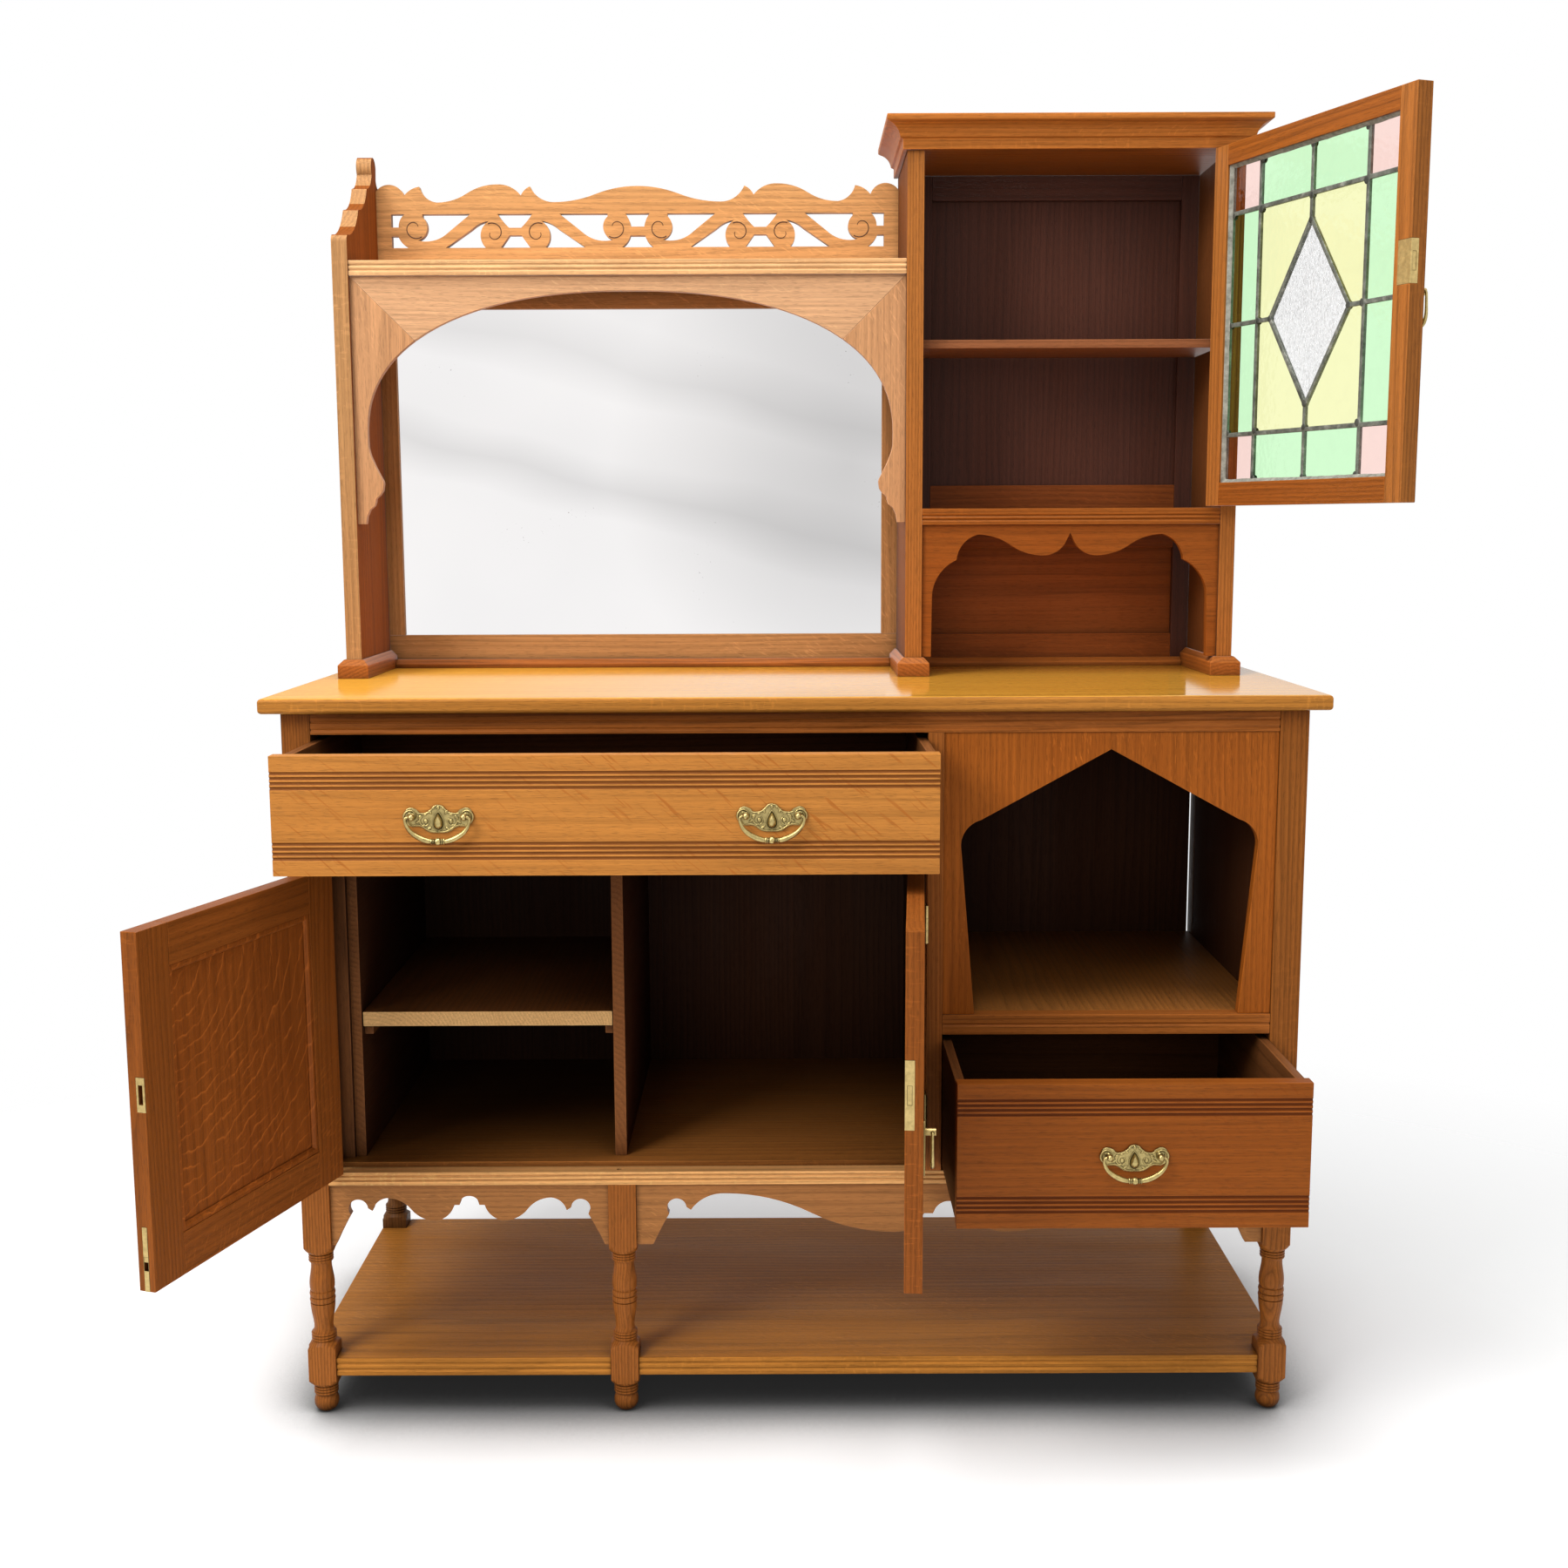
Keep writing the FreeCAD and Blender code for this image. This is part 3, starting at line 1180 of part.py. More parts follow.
# Drawers.
def drawer(name, left, right, bottom, top, floor, pose):
    """A drawer: grooved front, two sides, back and bottom."""
    gap = s.drawer_side_gap
    height = top - bottom
    band = [s.groove_inset + i * s.groove_step for i in range(int(float(s.groove_count)))]
    levels = band + [height - level for level in band]
    front = plate(name + "_front_board", "YZ_Plane", [reeded(s.drawer_front_thickness, height, levels)],
                  right - left - 2 * gap, (left + gap, 0, bottom))
    side_low = floor + s.slide_gap
    side_high = top - s.drawer_side_drop
    depth = (s.drawer_front_thickness, s.drawer_depth)
    thick = s.drawer_side_thickness
    inner = (left + gap + thick, right - gap - thick)
    bottom_low = side_low + s.drawer_bottom_lift
    bottom_high = bottom_low + s.drawer_bottom_thickness
    node(name + "_front", front, pose=pose)
    node(name + "_box",
         box(name + "_left_side", (left + gap, inner[0]), depth, (side_low, side_high)),
         box(name + "_right_side", (inner[1], right - gap), depth, (side_low, side_high)),
         box(name + "_back", inner, (s.drawer_depth - thick, s.drawer_depth), (bottom_high, side_high)),
         box(name + "_bottom", inner, depth, (bottom_low, bottom_high)), pose=pose)


drawer("long_drawer", -post_inside, s.divider_across, drawer_rail_top + s.drawer_gap,
       opening_top - s.drawer_gap, drawer_rail_top, long_drawer_pose)
drawer("lower_drawer", divider_right, post_inside, lower_bottom, lower_top, floor_top, lower_drawer_pose)


# Leaded door of the upper cabinet.
glazed_lock, glazed_lock_bolt, glazed_mortise = lock("glazed_lock", glazed_left, glazed_back,
                                                     glazed_lock_level, s.glazed_lock_height)
glass_left = glazed_left + s.glazed_stile
glass_right = glazed_right - s.glazed_stile
glass_bottom = glazed_bottom + s.glazed_bottom_rail
glass_top = glazed_top - s.glazed_top_rail
glass_middle = (glass_left + glass_right) / 2
glass_centre = (glass_bottom + glass_top) / 2
leaded_back = (s.upper_front + glazed_back) / 2


def glazed_frame():
    """Two stiles and two rails round the leaded panel."""
    depth = (s.upper_front, glazed_back)
    up = (glazed_bottom, glazed_top)
    inner = (glass_left, glass_right)
    left_stile = box("glazed_left_stile", (glazed_left, glass_left), depth, up)
    return (cut("glazed_lock_stile", left_stile, glazed_mortise),
            box("glazed_right_stile", (glass_right, glazed_right), depth, up),
            box("glazed_low_rail", inner, depth, (glazed_bottom, glass_bottom)),
            box("glazed_high_rail", inner, depth, (glass_top, glazed_top)))


def shrunk(points, by):
    """A convex outline, listed anticlockwise, drawn in by the same amount along every edge."""
    count = len(points)
    lines = []
    for i in range(count):
        start = Vector(*points[i], 0)
        end = Vector(*points[(i + 1) % count], 0)
        along = (end - start).normalize()
        lines.append((start + Vector(-along.y, along.x, 0) * by, along))
    corners = []
    for i in range(count):
        (first, along), (second, other) = lines[i - 1], lines[i]
        cross = along.x * other.y - along.y * other.x
        gap = second - first
        reach = (gap.x * other.y - gap.y * other.x) / cross
        corner = first + along * reach
        corners.append((corner.x, corner.y))
    return corners


def pane_outlines():
    """The panes by colour, on the centre lines of the lead, about the middle of the panel."""
    wide = float(glass_right - glass_left) / 2
    tall = float(glass_top - glass_bottom) / 2
    field_wide = wide - float(s.border_width)
    field_tall = tall - float(s.border_height)
    tip_across = float(s.diamond_half_width)
    tip_up = float(s.diamond_half_height)

    def block(left, right, low, high):
        return [(left, low), (right, low), (right, high), (left, high)]

    panes = {"pink": [], "green": [], "yellow": [],
             "clear": [[(0, -tip_up), (tip_across, 0), (0, tip_up), (-tip_across, 0)]]}
    for side in (-1, 1):
        across = sorted((side * field_wide, side * wide))
        half_across = sorted((0, side * field_wide))
        for level in (-1, 1):
            up = sorted((level * field_tall, level * tall))
            half_up = sorted((0, level * field_tall))
            panes["pink"].append(block(*across, *up))
            panes["green"].append(block(*half_across, *up))
            panes["green"].append(block(*across, *half_up))
            corner = [(0, level * tip_up), (side * tip_across, 0), (side * field_wide, 0),
                      (side * field_wide, level * field_tall), (0, level * field_tall)]
            panes["yellow"].append(corner if side * level > 0 else corner[::-1])
    return panes


panes = pane_outlines()
half_came = float(s.came_width) / 2
came_place = (glass_middle, leaded_back - s.came_depth / 2, glass_centre)
pane_place = (glass_middle, leaded_back - s.glass_thickness / 2, glass_centre)
lead_outer = rectangle((glass_left - glass_middle, glass_right - glass_middle),
                       (glass_bottom - glass_centre, glass_top - glass_centre))
lead_holes = [polygon(*shrunk(outline, half_came)) for outlines in panes.values() for outline in outlines]
node("glazed_door_frame", *glazed_frame(), pose=glazed_door_pose)
node("lead_cames", plate("came_lattice", "XZ_Plane", [lead_outer] + lead_holes, s.came_depth, came_place),
     pose=glazed_door_pose)
for colour, outlines in panes.items():
    sheets = [plate("%s_pane_%d" % (colour, i), "XZ_Plane", [polygon(*shrunk(outline, half_came))],
                    s.glass_thickness, pane_place) for i, outline in enumerate(outlines)]
    node(colour + "_glass", *sheets, pose=glazed_door_pose)
node("glazed_door_hinge_leaves", *door_leaves["glazed_door"], pose=glazed_door_pose)
node("glazed_door_lock_bolt", glazed_lock_bolt, pose=glazed_door_pose)
glazed_drop = glazed_left + s.glazed_drop_setback
node("glazed_door_brass", glazed_lock,
     drop_plate("glazed_drop_plate", glazed_drop, s.upper_front, glazed_handle_level), pose=glazed_door_pose)
node("glazed_door_drop",
     drop_handle("glazed_drop_loop", glazed_drop, s.upper_front, glazed_handle_level), pose=glazed_door_pose)


# Set every sub-part in its body's pose, with the frame in the middle of the footprint.
doc.recompute()
to_origin = FreeCAD.Placement(Vector(0, -float(s.origin_back), 0), FreeCAD.Rotation())
for group, pose in nodes.values():
    group.Placement = to_origin.multiply(pose)
doc.recompute()

for item in doc.Objects:
    if "Invalid" in item.State or "Error" in item.State:
        raise RuntimeError("%s failed: %s" % (item.Label, item.State))
whole = FreeCAD.BoundBox()
for label, (group, pose) in nodes.items():
    shape = group.Shape
    if shape.isNull() or not shape.isValid() or not shape.Solids:
        raise RuntimeError("%s has no valid shape" % label)
    whole.add(shape.BoundBox)

os.makedirs("parts", exist_ok=True)
for label, (group, pose) in nodes.items():
    group.Shape.exportStep("parts/%s.step" % label)
print("%d sub-parts, overall %s" % (len(nodes), whole))
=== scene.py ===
import json
import math
import random

import bmesh
import bpy
from mathutils import Matrix, Vector

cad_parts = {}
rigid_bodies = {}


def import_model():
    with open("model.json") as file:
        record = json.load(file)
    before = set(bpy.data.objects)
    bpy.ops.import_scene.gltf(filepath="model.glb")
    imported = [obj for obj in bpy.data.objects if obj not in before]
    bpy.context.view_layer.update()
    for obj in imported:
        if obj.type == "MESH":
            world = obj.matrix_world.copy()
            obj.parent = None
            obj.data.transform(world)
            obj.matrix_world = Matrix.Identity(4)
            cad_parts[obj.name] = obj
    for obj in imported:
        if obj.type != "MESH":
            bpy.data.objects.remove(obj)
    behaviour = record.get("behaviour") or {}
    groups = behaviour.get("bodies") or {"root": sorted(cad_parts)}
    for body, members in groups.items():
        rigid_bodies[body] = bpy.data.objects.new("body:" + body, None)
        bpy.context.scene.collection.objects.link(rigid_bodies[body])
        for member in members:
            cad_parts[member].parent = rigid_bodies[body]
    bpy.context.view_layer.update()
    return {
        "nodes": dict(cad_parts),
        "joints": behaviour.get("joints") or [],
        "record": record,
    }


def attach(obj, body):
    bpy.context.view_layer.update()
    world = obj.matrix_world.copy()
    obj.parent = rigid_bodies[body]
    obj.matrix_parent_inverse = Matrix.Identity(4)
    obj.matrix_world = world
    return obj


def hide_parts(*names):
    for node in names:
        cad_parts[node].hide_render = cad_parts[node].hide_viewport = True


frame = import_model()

# Oak mirror-back sideboard. The CAD boards are copied with eased edges and a grain direction each. The
# turned legs, the arch over the mirror and the cast brass are modelled here. All of it sits on the packed
# frame, in metres.

nodes = frame["nodes"]
record = frame["record"]
body_of = {node: body for body, members in record["behaviour"]["bodies"].items() for node in members}
joints = {joint["child"]: joint for joint in frame["joints"]}
random.seed(7)
X, Z = 0, 2


def srgb(red, green, blue):
    """A colour given as it shows on a screen, from 0 to 255, as a linear colour."""
    def linear(level):
        level = level / 255
        return level / 12.92 if level <= 0.04045 else ((level + 0.055) / 1.055) ** 2.4

    return (linear(red), linear(green), linear(blue), 1)


def scaled(colour, factor):
    """A colour times one number, or times one for each of red, green and blue."""
    factors = factor if isinstance(factor, tuple) else (factor,) * 3
    return tuple(min(level * by, 1) for level, by in zip(colour, factors)) + (1,)


class Look:
    """A node tree under construction: of a new material, or of an owner such as the world."""

    def __init__(self, name, owner=None):
        self.owner = owner or bpy.data.materials.new(name)
        self.owner.use_nodes = True
        self.tree = self.owner.node_tree
        self.tree.nodes.clear()

    def put(self, kind, inputs=None, **settings):
        """A new node. Each input is a value, an output, or a node whose first output is meant."""
        node = self.tree.nodes.new("ShaderNode" + kind)
        for key, value in settings.items():
            setattr(node, key, value)
        for key, value in (inputs or {}).items():
            if isinstance(value, bpy.types.Node):
                value = value.outputs[0]
            if isinstance(value, bpy.types.NodeSocket):
                self.tree.links.new(value, node.inputs[key])
            else:
                node.inputs[key].default_value = value
        return node

    def math(self, operation, first, second=0.0, clamp=False):
        node = self.put("Math", {0: first, 1: second}, operation=operation, use_clamp=clamp)
        return node.outputs[0]

    def times(self, first, second):
        return self.math("MULTIPLY", first, second)

    def plus(self, first, second):
        return self.math("ADD", first, second)

    def vector(self, operation, first, second=(0, 0, 0)):
        output = "Value" if operation in ("LENGTH", "DISTANCE") else "Vector"
        return self.put("VectorMath", {0: first, 1: second}, operation=operation).outputs[output]

    def place(self):
        """A point's place on the object, in metres."""
        return self.put("TexCoord").outputs["Object"]

    def attribute(self, name, output="Fac"):
        return self.put("Attribute", attribute_name=name).outputs[output]

    def openness(self, distance, samples=6):
        """0 deep in a corner, 1 where nothing is nearer than the distance."""
        return self.put("AmbientOcclusion", {"Distance": distance}, samples=samples).outputs["AO"]

    def noise(self, vector, scale, detail=2.0, rough=0.5, warp=0.0):
        scales = scale if isinstance(scale, tuple) else (scale,) * 3
        inputs = {"Vector": self.vector("MULTIPLY", vector, scales), "Scale": 1.0, "Detail": detail,
                  "Roughness": rough, "Distortion": warp}
        return self.put("TexNoise", inputs).outputs["Fac"]

    def ramp(self, factor, *stops):
        """A colour or grey level for each factor, between stops of (factor, colour or level)."""
        node = self.put("ValToRGB", {"Fac": factor})
        elements = node.color_ramp.elements
        while len(elements) < len(stops):
            elements.new(0.5)
        for element, (place, colour) in zip(elements, stops):
            element.position = place
            element.color = colour if isinstance(colour, tuple) else (colour, colour, colour, 1)
        return node.outputs["Color"]

    def mix(self, factor, first, second, blend="MIX"):
        """Two colours mixed. Sockets 6, 7 and 2 are the Mix node's colour inputs and its colour output."""
        inputs = {0: factor, 6: first, 7: second}
        return self.put("Mix", inputs, data_type="RGBA", blend_type=blend).outputs[2]

    def bump(self, height, distance, strength=1.0):
        inputs = {"Height": height, "Distance": distance, "Strength": strength}
        return self.put("Bump", inputs).outputs["Normal"]

    def surface(self, shader):
        self.put("OutputMaterial", {"Surface": shader})
        return self.owner

    def principled(self, inputs):
        return self.surface(self.put("BsdfPrincipled", inputs))


def swept_figure(look, grain):
    """Broken lines that sweep round one corner of a panel, as quartered oak has."""
    corner = look.vector("SUBTRACT", grain, (0.34, 0.31, 0.05))
    away = look.vector("LENGTH", look.vector("MULTIPLY", corner, (1.0, 0.85, 0)))
    unrest = look.times(look.noise(grain, (11, 16, 1), 3, 0.6), 2.4)
    sweep = look.math("FRACT", look.plus(look.times(away, 58), unrest))
    line = look.ramp(sweep, (0.0, 0.0), (0.07, 1.0), (0.14, 0.25), (0.24, 0.0))
    broken = look.ramp(look.noise(grain, (24, 34, 1)), (0.36, 0.0), (0.56, 1.0))
    return look.times(line, broken)


finishes = {}


def wood(name, shown, species="oak", rings=150, contrast=0.4, fleck=0.2, fleck_light=True, fleck_long=62,
         fleck_thin=330, cover=0.60, spread=0.0, spin=0.5, mottle=0.5, figure=0.0, dirt_and_shade=0.5, reach=0.03,
         gloss=0.42, shine=0.10, coat=0.0, worn_coat=None):
    """A finish of oiled wood: growth rings, pores, ray flecks, uneven stain, dirt and painted corner shade.

    Rings are counted for each metre. Flecks cover more with a low cover and a wide spread, and run at an
    angle of spin. Dirt and painted shade darken the wood within reach of a corner. A coat of polish may be
    worn at the left end.
    """
    look = Look(species + "_" + name)
    colour = srgb(*shown)
    grain = look.attribute("wood", "Vector")

    # Growth rings about the heart of the tree, which drifts along the board.
    drift = look.noise(grain, (0.9, 7, 7))
    sway = look.put("CombineXYZ", {1: look.times(look.math("SUBTRACT", drift, 0.5), 0.05)}).outputs[0]
    bent = look.vector("ADD", grain, sway)
    radius = look.vector("LENGTH", look.vector("MULTIPLY", bent, (0.015, 1, 1)))
    wobble = look.times(look.noise(grain, (3, 60, 60)), 1.3)
    phase = look.math("FRACT", look.plus(look.times(radius, rings), wobble))
    ring = look.ramp(phase, (0.0, 0.15), (0.18, 0.55), (0.7, 1.0), (0.97, 0.7), (1.0, 0.15))

    # Fibres, pores that open in the early wood, ray flecks in patches, and uneven stain.
    fibre = look.noise(grain, (5, 330, 330), 3, 0.6)
    dots = look.ramp(look.noise(grain, (70, 900, 900), 1), (0.56, 0.0), (0.66, 1.0))
    early = look.math("SUBTRACT", 1.15, look.times(phase, 0.7))
    pore = look.math("MULTIPLY", dots, early, clamp=True)
    turned = look.put("VectorRotate", {"Vector": grain, "Angle": spin}, rotation_type="Z_AXIS").outputs[0]
    rays = look.noise(turned, (fleck_long, fleck_thin, 62), 1.5, 0.5, 0.3)
    patches = look.ramp(look.noise(grain, (3.5, 8, 8)), (0.42 - spread, 0.0), (0.62 - spread, 1.0))
    flecks = look.times(look.ramp(rays, (cover, 0.0), (cover + 0.07, 1.0)), patches)
    stain = look.ramp(look.noise(grain, (2.2, 11, 11), 3, 0.6), (0.3, 0.0), (0.72, 1.0))

    # The colour, layer by layer.
    shade = look.mix(ring, scaled(colour, 1 - contrast * 0.75), scaled(colour, 1 + contrast * 0.35))
    shade = look.mix(look.times(stain, mottle * 0.6), shade, scaled(colour, (0.80, 0.66, 0.52)))
    shade = look.mix(0.5, shade, look.ramp(fibre, (0.25, 0.55), (0.75, 1.2)), "MULTIPLY")
    fleck_colour = scaled(colour, 1.75 if fleck_light else (0.74, 0.56, 0.42))
    shade = look.mix(look.times(flecks, fleck), shade, fleck_colour)
    if figure:
        shade = look.mix(look.times(swept_figure(look, grain), figure), shade, scaled(colour, 1.9))
    shade = look.mix(look.times(pore, 0.62), shade, scaled(colour, 0.55))
    rubbed = look.ramp(look.noise(grain, (9, 50, 50), 3), (0.38, 0.0), (0.7, 0.55))
    shade = look.mix(look.times(look.attribute("edge"), rubbed), shade, scaled(colour, 1.45))
    # Painted shade in the grooves of the drawer fronts.
    shade = look.mix(look.times(look.attribute("groove_shade"), 0.8), shade, scaled(colour, (0.34, 0.24, 0.2)))
    # Dirt and painted shade: the colour darkens where another surface is within reach.
    grime_and_shade = look.ramp(look.openness(reach), (0.15, 1 - dirt_and_shade), (0.85, 1.0))
    shade = look.mix(1.0, shade, grime_and_shade, "MULTIPLY")

    # The polish and the feel of the surface.
    uneven = look.plus(look.times(fibre, 0.5), look.times(stain, 0.35))
    rough = look.ramp(uneven, (0.2, gloss - 0.08), (0.8, gloss + 0.12))
    normal = look.bump(look.math("SUBTRACT", look.times(fibre, 0.35), pore), 0.0005, 0.35)
    polish = coat
    if worn_coat is not None:
        across = look.put("SeparateXYZ", {0: look.place()}).outputs[0]
        polish = look.ramp(look.plus(across, 0.7), (0.2, worn_coat), (0.62, coat))
    finishes[name] = look.principled({"Base Color": shade, "Roughness": rough, "Normal": normal,
                                      "Coat Weight": polish, "Coat Roughness": 0.10,
                                      "Specular IOR Level": shine})


def brass(name, colour, tarnish, rough):
    """Old lacquered brass: bright on the high spots, brown-green in the hollows."""
    look = Look(name)
    place = look.place()
    blotch = look.noise(place, 160, 4, 0.65)
    fine = look.noise(place, 900)
    open_face = look.ramp(look.openness(0.006), (0.45, 0.0), (0.97, 1.0))
    clean = look.times(open_face, look.ramp(blotch, (0.3, 0.55), (0.7, 1.0)))
    uneven = look.plus(look.times(blotch, 0.7), look.times(fine, 0.3))
    height = look.plus(blotch, look.times(fine, 0.4))
    return look.principled({"Base Color": look.mix(clean, tarnish, colour),
                            "Metallic": look.ramp(clean, (0.0, 0.75), (0.4, 1.0)),
                            "Roughness": look.ramp(uneven, (0.25, rough - 0.08), (0.8, rough + 0.18)),
                            "Normal": look.bump(height, 0.0003, 0.4)})


def lead_look(name, tone):
    """Dull lead with a pale bloom; tone makes it lighter or darker."""
    look = Look(name)
    place = look.place()
    blotch = look.noise(place, 70, 4, 0.7)
    greys = ((0.3, srgb(76, 80, 72)), (0.55, srgb(120, 124, 114)), (0.78, srgb(172, 174, 164)))
    shade = look.ramp(blotch, *((at, scaled(grey, tone)) for at, grey in greys))
    return look.principled({"Base Color": shade, "Metallic": 0.55,
                            "Roughness": look.ramp(blotch, (0.3, 0.38), (0.7, 0.62)),
                            "Normal": look.bump(look.plus(blotch, look.noise(place, 700)), 0.0006, 0.5)})


def stained_glass(name, shown, ripple, size, blotch):
    """Thin coloured glass: tinted light goes straight through, with a wavy shine on top."""
    look = Look(name)
    place = look.place()
    wave = look.noise(place, size, 3, 0.55, 0.4)
    seed_places = look.vector("MULTIPLY", place, (size * 2.2,) * 3)
    seeds = look.put("TexVoronoi", {"Vector": seed_places, "Scale": 1.0}).outputs["Distance"]
    normal = look.bump(look.plus(wave, look.times(seeds, 0.35)), ripple)
    # Light crosses two faces of a pane, so each has the square root of the tint.
    thin = tuple(level ** 0.5 for level in srgb(*shown))
    shade = look.mix(look.ramp(wave, (0.45, 0.0), (0.8, 1.0)), thin, scaled(thin, blotch))
    through = look.put("BsdfTransparent", {"Color": shade})
    shine = look.put("BsdfGlossy", {"Color": (1, 1, 1, 1), "Roughness": 0.06, "Normal": normal})
    fresnel = look.put("Fresnel", {"IOR": 1.45, "Normal": normal}).outputs[0]
    outside = look.math("SUBTRACT", 0.8, look.put("NewGeometry").outputs["Backfacing"], clamp=True)
    return look.surface(look.put("MixShader", {0: look.times(fresnel, outside), 1: through, 2: shine}))


def mirror_look():
    """Old silvering: clean in the middle, a few dark specks and a grey bloom."""
    look = Look("mirror")
    place = look.place()
    specks = look.ramp(look.noise(place, 240), (0.72, 0.0), (0.78, 1.0))
    rare = look.ramp(look.noise(place, 6), (0.58, 0.0), (0.7, 1.0))
    foxing = look.times(specks, rare)
    haze = look.noise(place, 2.5, 3)
    silver = look.ramp(haze, (0.3, (0.90, 0.91, 0.92, 1)), (0.7, (0.96, 0.965, 0.97, 1)))
    return look.principled({"Base Color": look.mix(foxing, silver, (0.16, 0.14, 0.12, 1)), "Metallic": 1.0,
                            "Roughness": look.ramp(foxing, (0.0, 0.012), (1.0, 0.4))})


def kerf_shade_look():
    """Painted shade of a saw cut, dark brown with paler specks."""
    look = Look("kerf_shade")
    kerf_specks = look.noise(look.place(), 300)
    shade = look.ramp(kerf_specks, (0.3, srgb(58, 34, 20)), (0.7, srgb(96, 60, 36)))
    return look.principled({"Base Color": shade, "Roughness": 0.8})


def putty_look():
    """Old grey putty, hard and lumpy."""
    look = Look("putty")
    lumps = look.noise(look.place(), 90, 4, 0.7)
    shade = look.ramp(lumps, (0.3, srgb(96, 94, 84)), (0.7, srgb(160, 158, 146)))
    return look.principled({"Base Color": shade, "Roughness": 0.75, "Normal": look.bump(lumps, 0.0008, 0.6)})


# Wood finishes, with the colour that each group of boards shows.
wood("post", (150, 88, 35), rings=260, contrast=0.62, fleck=0.1, dirt_and_shade=0.75, reach=0.06)
wood("rail", (166, 96, 40), rings=210, contrast=0.6, fleck=0.15, dirt_and_shade=0.75)
wood("apron", (164, 110, 62), contrast=0.35, fleck=0.35)
wood("side", (168, 98, 40), rings=120, contrast=0.45, fleck=0.3)
wood("niche", (172, 94, 30), rings=170, contrast=0.38, fleck=0.95, spin=0.12, mottle=0.8)
wood("niche_plain", (168, 92, 30), rings=190, contrast=0.42, fleck=0.3, spin=0.1, mottle=0.8)
wood("top", (228, 164, 60), rings=110, contrast=0.26, fleck=0.25, spin=0.2, dirt_and_shade=0.4, gloss=0.27,
     shine=0.0, coat=0.85, worn_coat=0.35)
wood("table_edge", (188, 124, 52))
wood("pot", (198, 130, 54), rings=120, contrast=0.35, fleck=0.3, dirt_and_shade=0.75, reach=0.30, shine=0.06)
wood("upper", (180, 132, 84), rings=170, contrast=0.34, fleck=0.3, dirt_and_shade=0.6)
wood("fret", (200, 148, 94), dirt_and_shade=0.55, reach=0.015)
wood("arch", (200, 148, 104), rings=190, contrast=0.22, fleck=0.25, dirt_and_shade=0.55)
# Painted sheen: the head board of the arch has a lighter, pinker copy of the arch finish.
wood("arch_head", (212, 164, 122), rings=190, contrast=0.2, fleck=0.25)
wood("drawer", (198, 130, 60), rings=120, contrast=0.2, fleck=0.75, fleck_light=False, fleck_long=20,
     fleck_thin=230, cover=0.61, spread=0.1, spin=0.72, mottle=0.4, dirt_and_shade=0.65, reach=0.006)
wood("low_drawer", (150, 82, 28), rings=110, contrast=0.28, fleck=0.3, fleck_light=False, spin=0.9,
     mottle=0.8, dirt_and_shade=0.8, reach=0.006)
wood("door", (142, 78, 29), rings=170, contrast=0.42, fleck=0.4, spin=1.1, dirt_and_shade=0.6)
wood("panel", (146, 78, 28), rings=60, contrast=0.35, spin=1.25, mottle=0.8, figure=0.85, dirt_and_shade=0.55)
wood("cornice", (184, 110, 46), rings=180, contrast=0.45, fleck=0.25, dirt_and_shade=0.7, reach=0.02)
wood("glazed", (166, 102, 46), rings=230, contrast=0.6, fleck=0.15, dirt_and_shade=0.55, reach=0.02)
wood("inside", (130, 80, 42), rings=140, fleck=0.15, dirt_and_shade=0.8, reach=0.25, gloss=0.5)
# Painted shade: dark is the oak made darker for the shaded insides of the carcase, cupboards and drawers.
wood("dark", (82, 48, 28), rings=140, fleck=0.1, dirt_and_shade=0.85, reach=0.30, gloss=0.5)
# Painted shade: cabinet is a darker copy of the back's finish for the shaded inside of the glazed cabinet.
wood("cabinet", (106, 64, 50), rings=130, contrast=0.35, fleck=0.1, dirt_and_shade=0.7, reach=0.2, gloss=0.35)
wood("recess", (150, 80, 34), rings=130, dirt_and_shade=0.6, reach=0.12)
wood("floor", (172, 110, 52), rings=120, dirt_and_shade=0.9, reach=0.34)
wood("bottom_rail", (228, 170, 106), rings=210, contrast=0.5, dirt_and_shade=0.6)
wood("pale", (222, 172, 120), rings=190, reach=0.02)
wood("shelf", (146, 90, 56), fleck=0.1, reach=0.05)
wood("glazed_rail", (150, 84, 30), rings=230, contrast=0.55, fleck=0.1)
# Painted shade: the back posts have a darker copy of the post finish.
wood("back_post", (104, 66, 32), rings=220, contrast=0.5, fleck=0.1, dirt_and_shade=0.8, reach=0.1)
wood("upper_inside", (144, 78, 26), rings=170, dirt_and_shade=0.6, gloss=0.8)
wood("cabinet_side", (132, 78, 38), rings=190, dirt_and_shade=0.75, reach=0.15, gloss=0.7)
wood("raw", (214, 170, 112), species="pine", rings=240, contrast=0.3, fleck=0.0, dirt_and_shade=0.35, gloss=0.62)
wood("back", (122, 84, 52), species="pine", rings=120, contrast=0.45, fleck=0.0, dirt_and_shade=0.6, gloss=0.6)
cast_brass = brass("brass_cast", srgb(206, 186, 124), srgb(58, 50, 24), 0.28)
sheet_brass = brass("brass_sheet", srgb(222, 196, 132), srgb(120, 100, 54), 0.34)


# Mesh helpers.
def extent(points):
    """The lowest and the highest corner of some points."""
    points = list(points)
    low = Vector([min(point[axis] for point in points) for axis in range(3)])
    high = Vector([max(point[axis] for point in points) for axis in range(3)])
    return low, high


def node_points(node):
    """The points of a CAD node's mesh."""
    return [vertex.co for vertex in nodes[node].data.vertices]


def grid(point, steps):
    """A point in whole steps, so many to a metre, by which points in one place are found equal."""
    return tuple(round(level * steps) for level in point)


